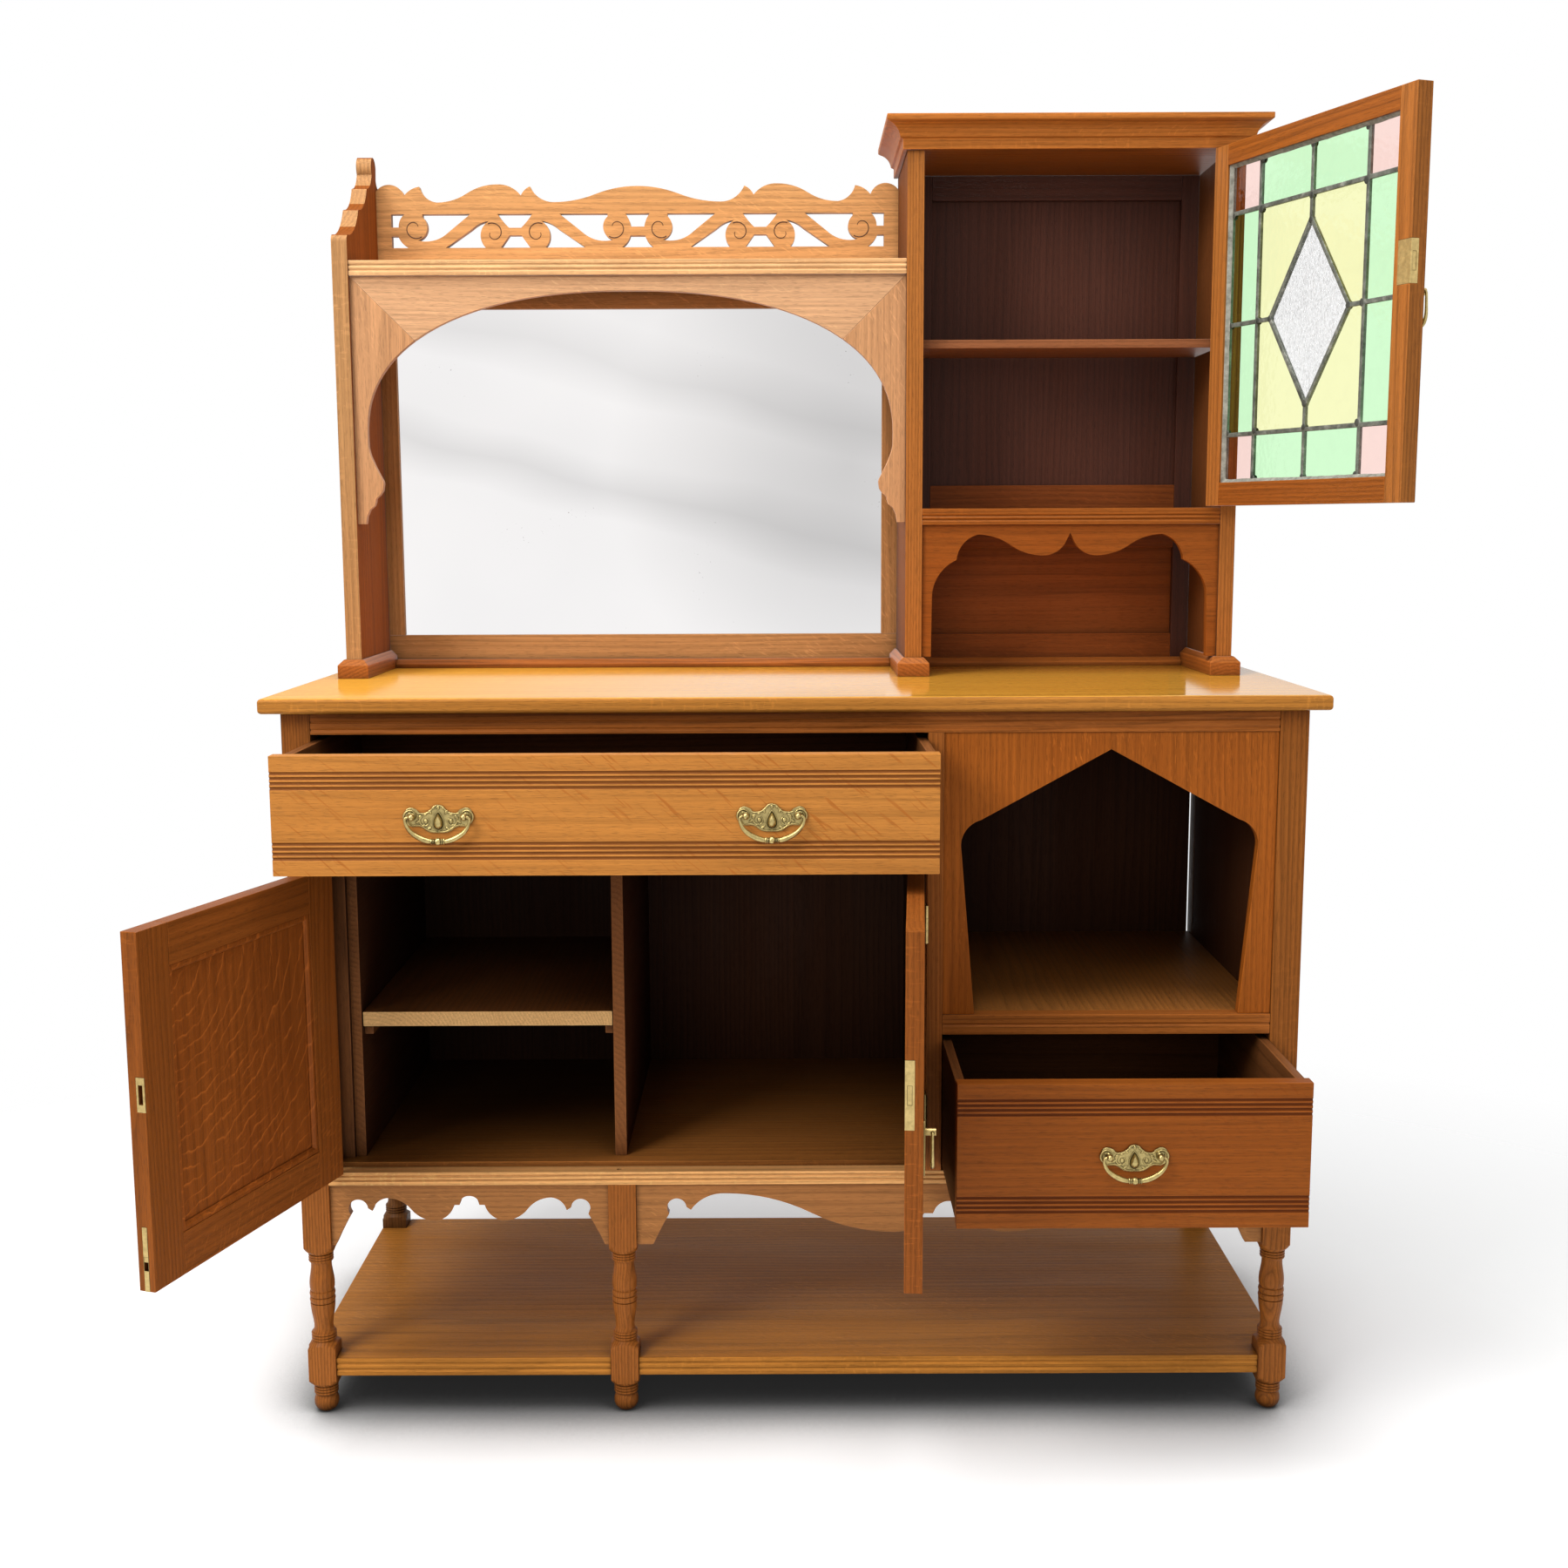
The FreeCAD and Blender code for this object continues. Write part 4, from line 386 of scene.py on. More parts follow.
def opened(body):
    """The turn of the doors that carry a body, from closed to where they stand."""
    turn = Matrix.Identity(4)
    while body in joints:
        joint = joints[body]
        if joint["type"] in ("revolute", "hinge"):
            pin = Matrix.Translation(Vector(joint["pos_m"]))
            swing = Matrix.Rotation(-math.radians(joint["range_deg"][0]), 4, Vector(joint["axis"]))
            turn = pin @ swing @ pin.inverted() @ turn
        body = joint["parent"]
    return turn


def closed_box(node):
    """The box of a CAD node with the doors closed, in millimetres."""
    back = opened(body_of[node]).inverted()
    return extent((back @ point) * 1000 for point in node_points(node))


def closed_solids(node):
    """The solids of a CAD node, which follow one another in its mesh, each as triangles of points.

    A solid is complete when each side of its triangles has met its opposite.
    """
    points = [point.copy() for point in node_points(node)]
    keys = [grid(point, 1e6) for point in points]
    unmet = {}
    solids = []
    solid = []
    for triangle in nodes[node].data.polygons:
        corners = list(triangle.vertices)
        solid.append([points[i] for i in corners])
        for i, j in zip(corners, corners[1:] + corners[:1]):
            low, high = sorted((keys[i], keys[j]))
            unmet[low, high] = unmet.get((low, high), 0) + (keys[i] < keys[j]) - (keys[j] < keys[i])
            if not unmet[low, high]:
                del unmet[low, high]
        if not unmet:
            solids.append(solid)
            solid = []
    return solids


def board_mesh(triangles, ease, turn_back):
    """One solid as a mesh with eased edges, in its closed place."""
    sharp = math.radians(28)
    bm = bmesh.new()
    seen = {}
    for triangle in triangles:
        corners = []
        for point in triangle:
            key = grid(point, 1e5)
            if key not in seen:
                seen[key] = bm.verts.new(turn_back @ point)
            corners.append(seen[key])
        if len(set(corners)) == 3 and not bm.faces.get(corners):
            bm.faces.new(corners)
    bm.normal_update()
    edge = bm.faces.layers.float.new("edge")
    if ease > 0:
        arrises = [e for e in bm.edges if len(e.link_faces) == 2 and e.calc_face_angle(0) > sharp]
        made = bmesh.ops.bevel(bm, geom=arrises, offset=ease, segments=2, profile=0.6, affect="EDGES",
                               clamp_overlap=True)
        for face in made["faces"]:
            face[edge] = 1.0
    return bm


def set_grain(bm, along=None, shift=None):
    """Write the wood's own coordinates on every point: along, across and through the board.

    The grain runs along the longest side, unless an axis is given.
    """
    layer = bm.verts.layers.float_vector.new("wood")
    low, high = extent(vertex.co for vertex in bm.verts)
    order = sorted(range(3), key=lambda axis: (high[axis] - low[axis], axis), reverse=True)
    if along is not None:
        order.remove(along)
        order.insert(0, along)
    move = shift or Vector((random.uniform(-4, 4), random.uniform(-0.12, 0.12), random.uniform(0.02, 0.22)))
    for vertex in bm.verts:
        vertex[layer] = Vector([vertex.co[axis] - low[axis] for axis in order]) + move


def round_turn(count):
    """Angles evenly round a circle."""
    return [2 * math.pi * i / count for i in range(count)]


def bridge(bm, rings):
    """Join rings of points into a closed skin."""
    count = len(rings[0])
    for under, over in zip(rings, rings[1:]):
        for i in range(count):
            j = (i + 1) % count
            bm.faces.new((under[i], under[j], over[j], over[i]))
    bm.faces.new(rings[0][::-1])
    bm.faces.new(rings[-1])


def keep(bm, into):
    """Add one board to a piece's mesh."""
    mesh = bpy.data.meshes.new("board")
    bm.to_mesh(mesh)
    bm.free()
    into.from_mesh(mesh)
    bpy.data.meshes.remove(mesh)


def added(name, data):
    """A new object in the scene."""
    item = bpy.data.objects.new(name, data)
    bpy.context.scene.collection.objects.link(item)
    return item


def finish_piece(bm, name, materials, node, replace=True, smooth=50):
    """A mesh as a piece that rides with a CAD node and, as a rule, replaces it.

    Edges are smooth up to an angle in degrees.
    """
    mesh = bpy.data.meshes.new(name)
    bm.to_mesh(mesh)
    bm.free()
    for material in materials:
        mesh.materials.append(material)
    for polygon in mesh.polygons:
        polygon.use_smooth = True
    mesh.set_sharp_from_angle(angle=math.radians(smooth))
    piece = added(name, mesh)
    piece.modifiers.new("even", "WEIGHTED_NORMAL").keep_sharp = True
    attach(piece, body_of[node])
    if replace:
        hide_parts(node)
    return piece


def halves(triangles, axis, level):
    """A board sawn in two across an axis, as two lists of triangles."""
    parts = []
    for side in (-1, 1):
        bm = bmesh.new()
        for triangle in triangles:
            bm.faces.new([bm.verts.new(point) for point in triangle])
        bmesh.ops.remove_doubles(bm, verts=bm.verts, dist=1e-5)
        done = bmesh.ops.bisect_plane(bm, geom=bm.verts[:] + bm.edges[:] + bm.faces[:], dist=1e-6,
                                      plane_co=[level] * 3, clear_outer=True,
                                      plane_no=[-side if number == axis else 0 for number in range(3)])
        rim = [item for item in done["geom_cut"] if isinstance(item, bmesh.types.BMEdge)]
        bmesh.ops.edgeloop_fill(bm, edges=rim)
        bmesh.ops.triangulate(bm, faces=bm.faces)
        parts.append([[vertex.co.copy() for vertex in face.verts] for face in bm.faces])
        bm.free()
    return parts


def for_board(choice, number):
    """What holds for one board: a single choice, or its place in a list, whose last entry goes on."""
    return choice[min(number, len(choice) - 1)] if isinstance(choice, list) else choice


# How far a face's normal has to lean to a side for the face to look that way.
lean = 0.6


def looks_forward(face):
    return face.normal.y < -lean


def looks_inward(face):
    """Whether a face looks to the middle of the sideboard, at x = 0."""
    return abs(face.normal.x) > lean and face.normal.x * face.calc_center_median().x < 0


def paint(bm, names, finish, chosen=None):
    """Give the chosen faces, or all, a finish, by its place in a list of names."""
    if finish not in names:
        names.append(finish)
    for face in bm.faces:
        if chosen is None or chosen(face):
            face.material_index = names.index(finish)


def wood_piece(node, finish, along=None, ease=0.0012, front=None, inner=None, saw=None, shape=None,
               shift=None, boards=None):
    """A CAD node's boards, or others in their place, with eased edges and grain.

    The finish is one name or a list by board, and so is along, the axis of the grain. The faces that look
    forward or inward may have a finish of their own, and the first board may be sawn in two.
    """
    turn = opened(body_of[node])
    back = turn.inverted()
    names = []
    whole = bmesh.new()
    boards = boards or closed_solids(node)
    if saw:
        boards = halves(boards[0], *saw) + boards[1:]
    for number, triangles in enumerate(boards):
        bm = board_mesh(triangles, ease, back)
        if shape:
            shape(bm, number)
        paint(bm, names, for_board(finish, number))
        for own, chosen in ((front, looks_forward), (inner, looks_inward)):
            if own:
                paint(bm, names, own, chosen)
        set_grain(bm, for_board(along, number), shift)
        bmesh.ops.transform(bm, matrix=turn, verts=bm.verts)
        keep(bm, whole)
    return finish_piece(whole, node + "_wood", [finishes[name] for name in names], node)


# The boards of the base.
def shrunken(bm, number):
    """The last back board has shrunk and leaves a crack at the right-hand corner."""
    last_board, crack, rim = 5, 0.0030, 0.02
    right = max(vertex.co.x for vertex in bm.verts)
    for vertex in bm.verts:
        if number == last_board and vertex.co.x > right - rim:
            vertex.co.x -= crack


niche_board_joint = 0.4095
wood_piece("pot_board", "pot")
wood_piece("front_rails", ["bottom_rail", "rail"])
wood_piece("lower_aprons", "apron")
# The inward faces of the carcase sides take the dark finish, painted shade.
wood_piece("carcase_sides", "side", inner="dark")
wood_piece("carcase_back", "dark", ease=0.0006, shape=shrunken)
wood_piece("cupboard_floor", "floor")
wood_piece("middle_divider", ["rail", "dark"])
wood_piece("cupboard_linings", ["dark", "dark", "dark", "inside"], front="inside")
wood_piece("cupboard_shelf", "inside", front="raw")
wood_piece("drawer_runners", "dark")
wood_piece("niche_panel", ["niche", "niche_plain"], along=Z, saw=(X, niche_board_joint))
wood_piece("niche_floor", ["rail", "floor"])
wood_piece("table_top", "top", ease=0.0, front="table_edge")


# The boards of the upper stage.
def cut_board(outline, front, back):
    """Triangles of a board cut to an outline of (across, up) points between two depths."""
    bm = bmesh.new()
    near = [bm.verts.new((x, front, z)) for x, z in outline]
    far = [bm.verts.new((x, back, z)) for x, z in outline]
    bm.faces.new(near)
    bm.faces.new(far[::-1])
    for i in range(len(outline)):
        j = (i + 1) % len(outline)
        bm.faces.new((near[j], near[i], far[i], far[j]))
    bm.normal_update()
    bmesh.ops.triangulate(bm, faces=bm.faces)
    bmesh.ops.recalc_face_normals(bm, faces=bm.faces)
    triangles = [[vertex.co.copy() for vertex in face.verts] for face in bm.faces]
    bm.free()
    return triangles


def arch_boards():
    """The frieze over the mirror: a head mitred to two eared sides, under a full three-quarter arch.

    Points are (in from the left edge, down from the top).
    """
    (left, front, foot), (right, back, top) = extent(node_points("arch_frieze"))
    middle, half, height = (left + right) / 2, (right - left) / 2, top - foot
    spring, crown, lip, fullness = 0.220, 0.021, 0.018, 2.3
    wide, tall = half - lip, spring - crown
    side_steps, head_steps, mitre_step = 14, 28, 0.0005

    def under_arch(across):
        """The point of the arch at a distance from the left edge."""
        share = min(abs(half - across) / wide, 1)
        return across, spring - tall * (1 - share ** fullness) ** (1 / fullness)

    mitre = lip
    while under_arch(mitre)[1] > mitre:
        mitre += mitre_step
    ear = [(0.0, height), (0.0115, height), (0.0135, 0.3335), (0.0175, 0.3245), (0.0243, 0.319),
           (0.0262, 0.3135), (0.0267, 0.309), (0.0325, 0.304), (0.037, 0.2975), (0.0385, 0.288),
           (0.0378, 0.2845), (0.0275, 0.264), (0.0205, 0.247), (0.0182, 0.236)]
    side = [(0.0, 0.0)] + ear
    for i in range(side_steps + 1):
        side.append(under_arch(lip + (mitre - lip) * (i / side_steps) ** 2))
    head = [(0.0, 0.0)]
    for i in range(head_steps + 1):
        head.append(under_arch(mitre + (half - mitre) * math.sin(math.pi / 2 * i / head_steps)))
    head += [(2 * half - across, down) for across, down in head[-2::-1]]
    boards = []
    for outline, way in ((head, 1), (side, 1), (side, -1)):
        placed = [(middle + way * (across - half), top - down) for across, down in outline]
        boards.append(cut_board(placed, front, back))
    return boards


recess_top = 1.205
left_end = wood_piece("upper_left_end", "upper_inside", front="upper")
cabinet_ends = wood_piece("cabinet_ends", "cabinet_side", front="glazed")
wood_piece("foot_mouldings", "rail")
gallery_shelf = wood_piece("gallery_shelf", "pale")
wood_piece("gallery_fret", "fret", ease=0.0010)
frieze = wood_piece("arch_frieze", ["arch_head", "arch"], along=[X, Z], boards=arch_boards())
mirror_frame = wood_piece("mirror_frame", "upper")
mirror_back = wood_piece("mirror_backboard", "back")
cabinet_boards = wood_piece("cabinet_boards", ["glazed_rail", "shelf", "glazed_rail"])
# The first back board is sawn at the recess top; the boards inside the glazed cabinet take the darker
# cabinet finish, painted shade.
wood_piece("cabinet_back", ["recess", "cabinet", "cabinet", "cabinet", "recess", "recess", "cabinet"],
           along=[X, Z, Z, Z, X], saw=(Z, recess_top))
wood_piece("cornice", "cornice")
bat_wing = wood_piece("bat_wing_apron", "low_drawer")
# The mirror shows the pale room and not the boards round it.
for board in (left_end, cabinet_ends, gallery_shelf, frieze, mirror_frame, mirror_back, cabinet_boards,
              bat_wing):
    board.visible_glossy = False


# The boards of the doors and drawers.
def shaded_grooves(bm, number):
    """Painted shade in the grooves of a drawer front, away from its outer edges."""
    sunk, margin, forward = 0.0003, 0.004, -0.1
    groove_shade = bm.faces.layers.float.new("groove_shade")
    low, high = extent(vertex.co for vertex in bm.verts)
    for face in bm.faces:
        middle = face.calc_center_median()
        from_edge = min(middle.z - low.z, high.z - middle.z)
        if face.normal.y < forward and middle.y > low.y + sunk and from_edge > margin:
            face[groove_shade] = 1.0


panel_figure = Vector((0, 0, 0.05))
for side in ("left", "right"):
    wood_piece(side + "_door_frame", "door")
    wood_piece(side + "_door_panel", "panel", along=Z, shift=panel_figure)
wood_piece("glazed_door_frame", ["glazed", "glazed", "glazed_rail"])
for drawer, finish in (("long_drawer", "drawer"), ("lower_drawer", "low_drawer")):
    wood_piece(drawer + "_front", finish, shape=shaded_grooves)
    wood_piece(drawer + "_box", ["inside", "inside", "inside", "dark"])


# Turned legs.
def leg_profile():
    """The levels up a leg and the radius at each; where it is square, the radius is past any corner.

    The vase between the low block and the shoulder is drawn in shares of its height.
    """
    square = 1.0
    vase_foot, vase_top = 0.098, 0.228

    def ringed(low, high, count, radius, depth):
        """A row of beads between two levels."""
        shoulder = radius - depth * 0.35
        width = (high - low) / count
        points = []
        for i in range(count):
            base = low + i * width
            points += [(base, radius - depth), (base + width * 0.12, shoulder), (base + width * 0.5, radius),
                       (base + width * 0.88, shoulder)]
        return points + [(high, radius - depth)]

    foot = [(0.0, 0.0092), (0.0012, 0.0112), (0.005, 0.0146), (0.010, 0.0164), (0.015, 0.0165),
            (0.020, 0.0153), (0.0235, 0.0134)] + ringed(0.0245, 0.0365, 3, 0.0164, 0.0016)
    block = [(0.0385, 0.0175), (0.042, 0.0215), (0.0470, 0.0275), (0.0478, square), (0.0922, square),
             (0.0925, 0.0275), (0.0965, 0.0215)]
    vase = [(0.01, 0.0175)] + ringed(0.03, 0.12, 3, 0.0168, 0.0018)
    vase += [(0.135, 0.0140), (0.16, 0.0128), (0.20, 0.0127), (0.26, 0.0137), (0.33, 0.0153), (0.40, 0.0164),
             (0.435, 0.0166)] + ringed(0.44, 0.57, 2, 0.0172, 0.0019)
    vase += [(0.60, 0.0166), (0.65, 0.0168), (0.70, 0.0163), (0.76, 0.0150), (0.82, 0.0139), (0.865, 0.0137),
             (0.885, 0.0144)] + ringed(0.89, 0.975, 3, 0.0167, 0.0016)
    vase += [(0.99, 0.0178), (1.02, 0.0215), (1.065, 0.0275), (1.068, square)]
    return foot + block + [(vase_foot + (vase_top - vase_foot) * share, radius) for share, radius in vase]


def turned_legs(node, finish):
    """The posts of a node, round where they were turned and square elsewhere."""
    half, ease, count = 0.019, 0.0016, 64
    under_top = 0.0002
    corner = (half - ease) * math.sqrt(2) + ease
    profile = leg_profile()
    top_radius = profile[-1][1]
    whole = bmesh.new()
    for triangles in closed_solids(node):
        low, high = extent(point for triangle in triangles for point in triangle)
        middle_x, middle_y = (low.x + high.x) / 2, (low.y + high.y) / 2
        bm = bmesh.new()
        rings = []
        for level, radius in profile + [(high.z - under_top, top_radius)]:
            ring = []
            for angle in round_turn(count):
                across, deep = math.cos(angle), math.sin(angle)
                reach = min(half / max(abs(across), abs(deep)), corner, radius)
                ring.append(bm.verts.new((middle_x + across * reach, middle_y + deep * reach, level)))
            rings.append(ring)
        bridge(bm, rings)
        bm.normal_update()
        set_grain(bm, Z)
        keep(bm, whole)
    finish_piece(whole, node + "_turned", [finishes[finish]], node, smooth=24)


turned_legs("front_posts", "post")
turned_legs("back_posts", "back_post")


# Mirror, glass, lead and sheet brass keep their CAD shapes, and all but the mirror get eased edges.
def plain_piece(node, material, ease):
    """A CAD node's solids with eased edges in one material."""
    whole = bmesh.new()
    for triangles in closed_solids(node):
        keep(board_mesh(triangles, ease, Matrix.Identity(4)), whole)
    finish_piece(whole, node + "_shown", [material], node, smooth=30)


glass_ease, lead_ease, sheet_ease = 0.0004, 0.0014, 0.0003
plain_piece("mirror_glass", mirror_look(), 0.0)
for hue, shown, ripple, size, blotch in (
        ("green", (212, 255, 208), 0.0005, 60, 0.985), ("pink", (254, 222, 214), 0.0005, 60, 0.985),
        ("yellow", (250, 252, 194), 0.0004, 50, 0.985), ("clear", (255, 255, 255), 0.0030, 230, 0.80)):
    plain_piece(hue + "_glass", stained_glass("glass_" + hue, shown, ripple, size, blotch), glass_ease)
plain_piece("lead_cames", lead_look("lead", 1.0), lead_ease)
for sheet_node in ("hinge_frame_leaves", "left_door_hinge_leaves", "right_door_hinge_leaves",
                   "glazed_door_hinge_leaves", "left_door_plates", "left_door_bolt", "right_door_lock_bolt",
                   "right_door_brass", "glazed_door_lock_bolt", "glazed_door_brass"):
    plain_piece(sheet_node, sheet_brass, sheet_ease)


# Cast brass and small details are drawn in millimetres: across, out of the wood and up.
def spline(points, steps):
    """A smooth line through points of any number of values."""
    ends = [points[0]] + list(points) + [points[-1]]
    line = []
    for before, start, end, after in zip(ends, ends[1:], ends[2:], ends[3:]):
        for i in range(steps):
            t = i / steps
            line.append(tuple(0.5 * (2 * q + (r - p) * t + (2 * p - 5 * q + 4 * r - s) * t ** 2
                                     + (3 * q - p - 3 * r + s) * t ** 3)
                              for p, q, r, s in zip(before, start, end, after)))
    return line + [tuple(points[-1])]


def rod(bm, line, sides=12):
    """A round rod along points that give across, out, up and the radius there."""
    points = [Vector(point[:3]) for point in line]
    rings = []
    normal = None
    for i, point in enumerate(points):
        ahead = (points[min(i + 1, len(points) - 1)] - points[max(i - 1, 0)]).normalized()
        if normal is None:
            normal = ahead.orthogonal().normalized()
        normal = (normal - ahead * normal.dot(ahead)).normalized()
        side = ahead.cross(normal)
        rings.append([bm.verts.new(point + (normal * math.cos(turn) + side * math.sin(turn)) * line[i][3])
                      for turn in round_turn(sides)])
    bridge(bm, rings)


def swelling(bm, outline, base, heights):
    """A raised boss on an outline of (across, up): heights give (share of the outline, out)."""
    middle_x = sum(x for x, z in outline) / len(outline)
    middle_z = sum(z for x, z in outline) / len(outline)
    rings = []
    for share, out in heights:
        rings.append([bm.verts.new((middle_x + (x - middle_x) * share, base + out,
                                    middle_z + (z - middle_z) * share)) for x, z in outline])
    bridge(bm, rings)


def oval(across, up, wide, tall, tilt=0.0, count=20):
    """An oval outline of (across, up) points."""
    points = []
    for turn in round_turn(count):
        x, z = wide * math.cos(turn), tall * math.sin(turn)
        points.append((across + x * math.cos(tilt) - z * math.sin(tilt),
                       up + x * math.sin(tilt) + z * math.cos(tilt)))
    return points


def rounded(high):
    """Ring shares and heights of a smooth dome."""
    return [(1.0, 0.0), (0.97, high * 0.32), (0.88, high * 0.6), (0.72, high * 0.8), (0.45, high * 0.95),
            (0.12, high)]


def curl(side, across, up, radius, start, sweep, end_radius, out, thick):
    """Points of a thinning spiral rod, drawn for one side and mirrored across where side is -1."""
    steps, thinning = 26, 0.45
    points = []
    for i in range(steps + 1):
        share = i / steps
        turn = start + sweep * share
        reach = radius + (end_radius - radius) * share
        points.append((side * (across + reach * math.cos(turn)), out, up + reach * math.sin(turn),
                       thick * (1 - thinning * share)))
    return points


def both_sides(line):
    """A line that ends in the middle, and its mirror image."""
    return line + [(-x, out, up, radius) for x, out, up, radius in reversed(line[:-1])]


def pressed_plate(bm):
    """The back plate: a pressed sheet with scrolled ears, leaves, a rim and a pointed boss."""
    left = [(0, -17), (-7, -16.8), (-13, -15.6), (-19, -11.5), (-24, -9.2), (-29, -9.4), (-34, -9),
            (-38.5, -6), (-41.4, 0), (-41, 6.5), (-38, 11.6), (-33, 13.6), (-28.5, 12), (-25.5, 8.6),
            (-21, 7.2), (-16, 7.4), (-11.5, 8.6), (-8.5, 11.6), (-6.5, 14.6), (-3.5, 16.2), (0, 17)]
    leaves = [(21.5, 2.0, 2.3, 3.6, 0.7), (24.5, -3.4, 1.7, 3.4, 1.1), (9.5, 8.2, 1.6, 2.9, -0.6),
              (11.0, -11.4, 1.7, 3.6, 1.0), (18.0, -8.0, 1.4, 3.2, 1.0), (6.0, 13.0, 1.6, 1.8, 0.0),
              (15.5, 5.2, 1.3, 2.4, 1.2)]
    low_rim = [(1.5, -15.6, 0.9), (8, -15.2, 1.1), (14, -12.6, 1.2), (20, -8.6, 1.1), (26, -7.4, 1.0),
               (31, -7.6, 0.8)]
    high_rim = [(1.2, 16.0, 0.8), (5.2, 14.6, 1.0), (8.6, 10.6, 1.1), (13, 7.4, 1.0), (20, 6.2, 0.9),
                (25, 7.2, 0.8)]
    sheet, rim_out, rim_sides = 1.7, 1.9, 8
    smooth = spline(left, 3)
    outline = smooth + [(-x, z) for x, z in smooth[-2:0:-1]]
    swelling(bm, outline, 0, [(1.0, 0.0), (1.0, 1.0), (0.985, 1.5), (0.96, 1.8), (0.9, 1.9)])
    for side in (-1, 1):
        rod(bm, curl(side, -33, 3.2, 8.6, -2.3, -4.9, 4.6, 2.0, 1.5))
        swelling(bm, oval(side * 33, 5.6, 3.6, 2.6, 0.4 * side), sheet, rounded(1.5))
        rod(bm, curl(side, -15.5, -2.6, 7.4, 2.3, 5.0, 3.6, 2.0, 1.35))
        swelling(bm, oval(side * 15.0, -2.6, 2.5, 2.9), 1.8, rounded(1.8))
        for x, z, wide, tall, tilt in leaves:
            swelling(bm, oval(side * x, z, wide, tall, side * tilt, 14), sheet, rounded(1.5))
        for rim in (low_rim, high_rim):
            rod(bm, spline([(side * x, rim_out, z, r) for x, z, r in rim], 6), rim_sides)
    swelling(bm, oval(0, 13.6, 2.2, 2.4), 1.8, rounded(1.8))
    drop = []
    for turn in round_turn(32):
        drop.append((8.4 * math.sin(turn) * abs(math.sin(turn / 2)) ** 1.1, -2.2 + 11.4 * math.cos(turn)))
    rod(bm, [(x, 2.0, z, 0.9) for x, z in drop + drop[:1]], rim_sides)
    swelling(bm, [(x * 0.86, -3 + (z + 3) * 0.86) for x, z in drop], sheet,
             [(1.0, 0.0), (0.96, 2.2), (0.86, 4.2), (0.68, 5.8), (0.42, 6.8), (0.14, 7.2)])


def bail_post(bm, across, up):
    """A small turned post, standing out of the plate, that the end of the bail goes into."""
    profile = [(4.6, 1.0), (4.9, 1.8), (4.2, 2.8), (2.9, 4.2), (2.7, 5.6), (3.4, 7.0), (3.9, 8.6),
               (4.2, 10.0), (3.9, 11.4), (3.0, 12.8), (1.6, 13.7), (0.5, 14.0)]
    swelling(bm, oval(across, up, 1, 1, count=18), 0, profile)


def bail_rod(bm):
    """The hanging bail: it swells to collars and a bead in the middle."""
    out, lowest = 10, -25.8
    half = [(-31, 3, 1.7), (-35.5, 3, 1.7), (-38.0, 1.0, 1.8), (-38.0, -3.0, 1.9), (-35.5, -9.5, 2.3),
            (-31.0, -15.2, 2.7), (-25.0, -19.6, 3.1), (-18.0, -23.2, 3.3), (-11.5, -25.2, 3.0),
            (-8.6, -25.7, 2.7)]
    collars = [(-8.2, 2.7), (-7.9, 3.7), (-6.9, 3.9), (-6.5, 2.7), (-5.9, 2.6), (-5.5, 3.7), (-4.6, 3.9),
               (-4.2, 2.7), (-3.6, 2.8), (-2.9, 3.7), (-1.6, 4.3), (0, 4.5)]
    side = spline([(x, out, z, r) for x, z, r in half], 5)
    rod(bm, both_sides(side + [(x, out, lowest, r) for x, r in collars]))


def place_drawing(bm, across, face, up, turn=None):
    """Move a drawing in millimetres to its place, also in millimetres, with an opening turn on top."""
    shift = Matrix.LocRotScale(Vector((across, face, up)) / 1000, None, Vector((1, -1, 1)) / 1000)
    bmesh.ops.transform(bm, matrix=(turn or Matrix.Identity(4)) @ shift, verts=bm.verts)
    bmesh.ops.recalc_face_normals(bm, faces=bm.faces)


def cast_piece(bm, node):
    finish_piece(bm, node + "_cast", [cast_brass], node, smooth=60)


def handle(plate_node, bail_nodes):
    """A drawer's handle plates, and the bails that hang on their posts."""
    bail_rise, post_across, post_up = 5, 31, 3
    face = closed_box(plate_node)[1].y
    plates = bmesh.new()
    for bail_node in bail_nodes:
        low, high = closed_box(bail_node)
        place = ((low.x + high.x) / 2, face, high.z - bail_rise)
        plate = bmesh.new()
        pressed_plate(plate)
        for side in (-1, 1):
            bail_post(plate, side * post_across, post_up)
        place_drawing(plate, *place)
        keep(plate, plates)
        bail = bmesh.new()
        bail_rod(bail)
        place_drawing(bail, *place)
        cast_piece(bail, bail_node)
    cast_piece(plates, plate_node)


handle("long_drawer_handle_plates", ["long_drawer_left_bail", "long_drawer_right_bail"])
handle("lower_drawer_handle_plate", ["lower_drawer_bail"])


def drop_handle(node, across, face, level):
    """A pear-shaped drop loop on its post, in the door's closed place and then opened."""
    out = 10
    half = [(-1.2, 20, 1.6), (-3.6, 20, 1.6), (-6.0, 20, 1.6), (-7.8, 17.6, 1.6), (-8.4, 10, 1.7),
            (-8.8, 2, 1.8), (-9, -5, 2.0), (-8.2, -11, 2.2), (-5.6, -16.4, 2.5), (-2.2, -19.4, 2.7),
            (0, -20, 2.9)]
    bm = bmesh.new()
    rod(bm, both_sides(spline([(x, out, z, r) for x, z, r in half], 5)))
    place_drawing(bm, across, face, level, opened(body_of[node]))
    cast_piece(bm, node)


drop_handle("right_door_drop", across=-198.5, face=-55, level=505)
drop_handle("glazed_door_drop", across=203, face=235, level=1452)


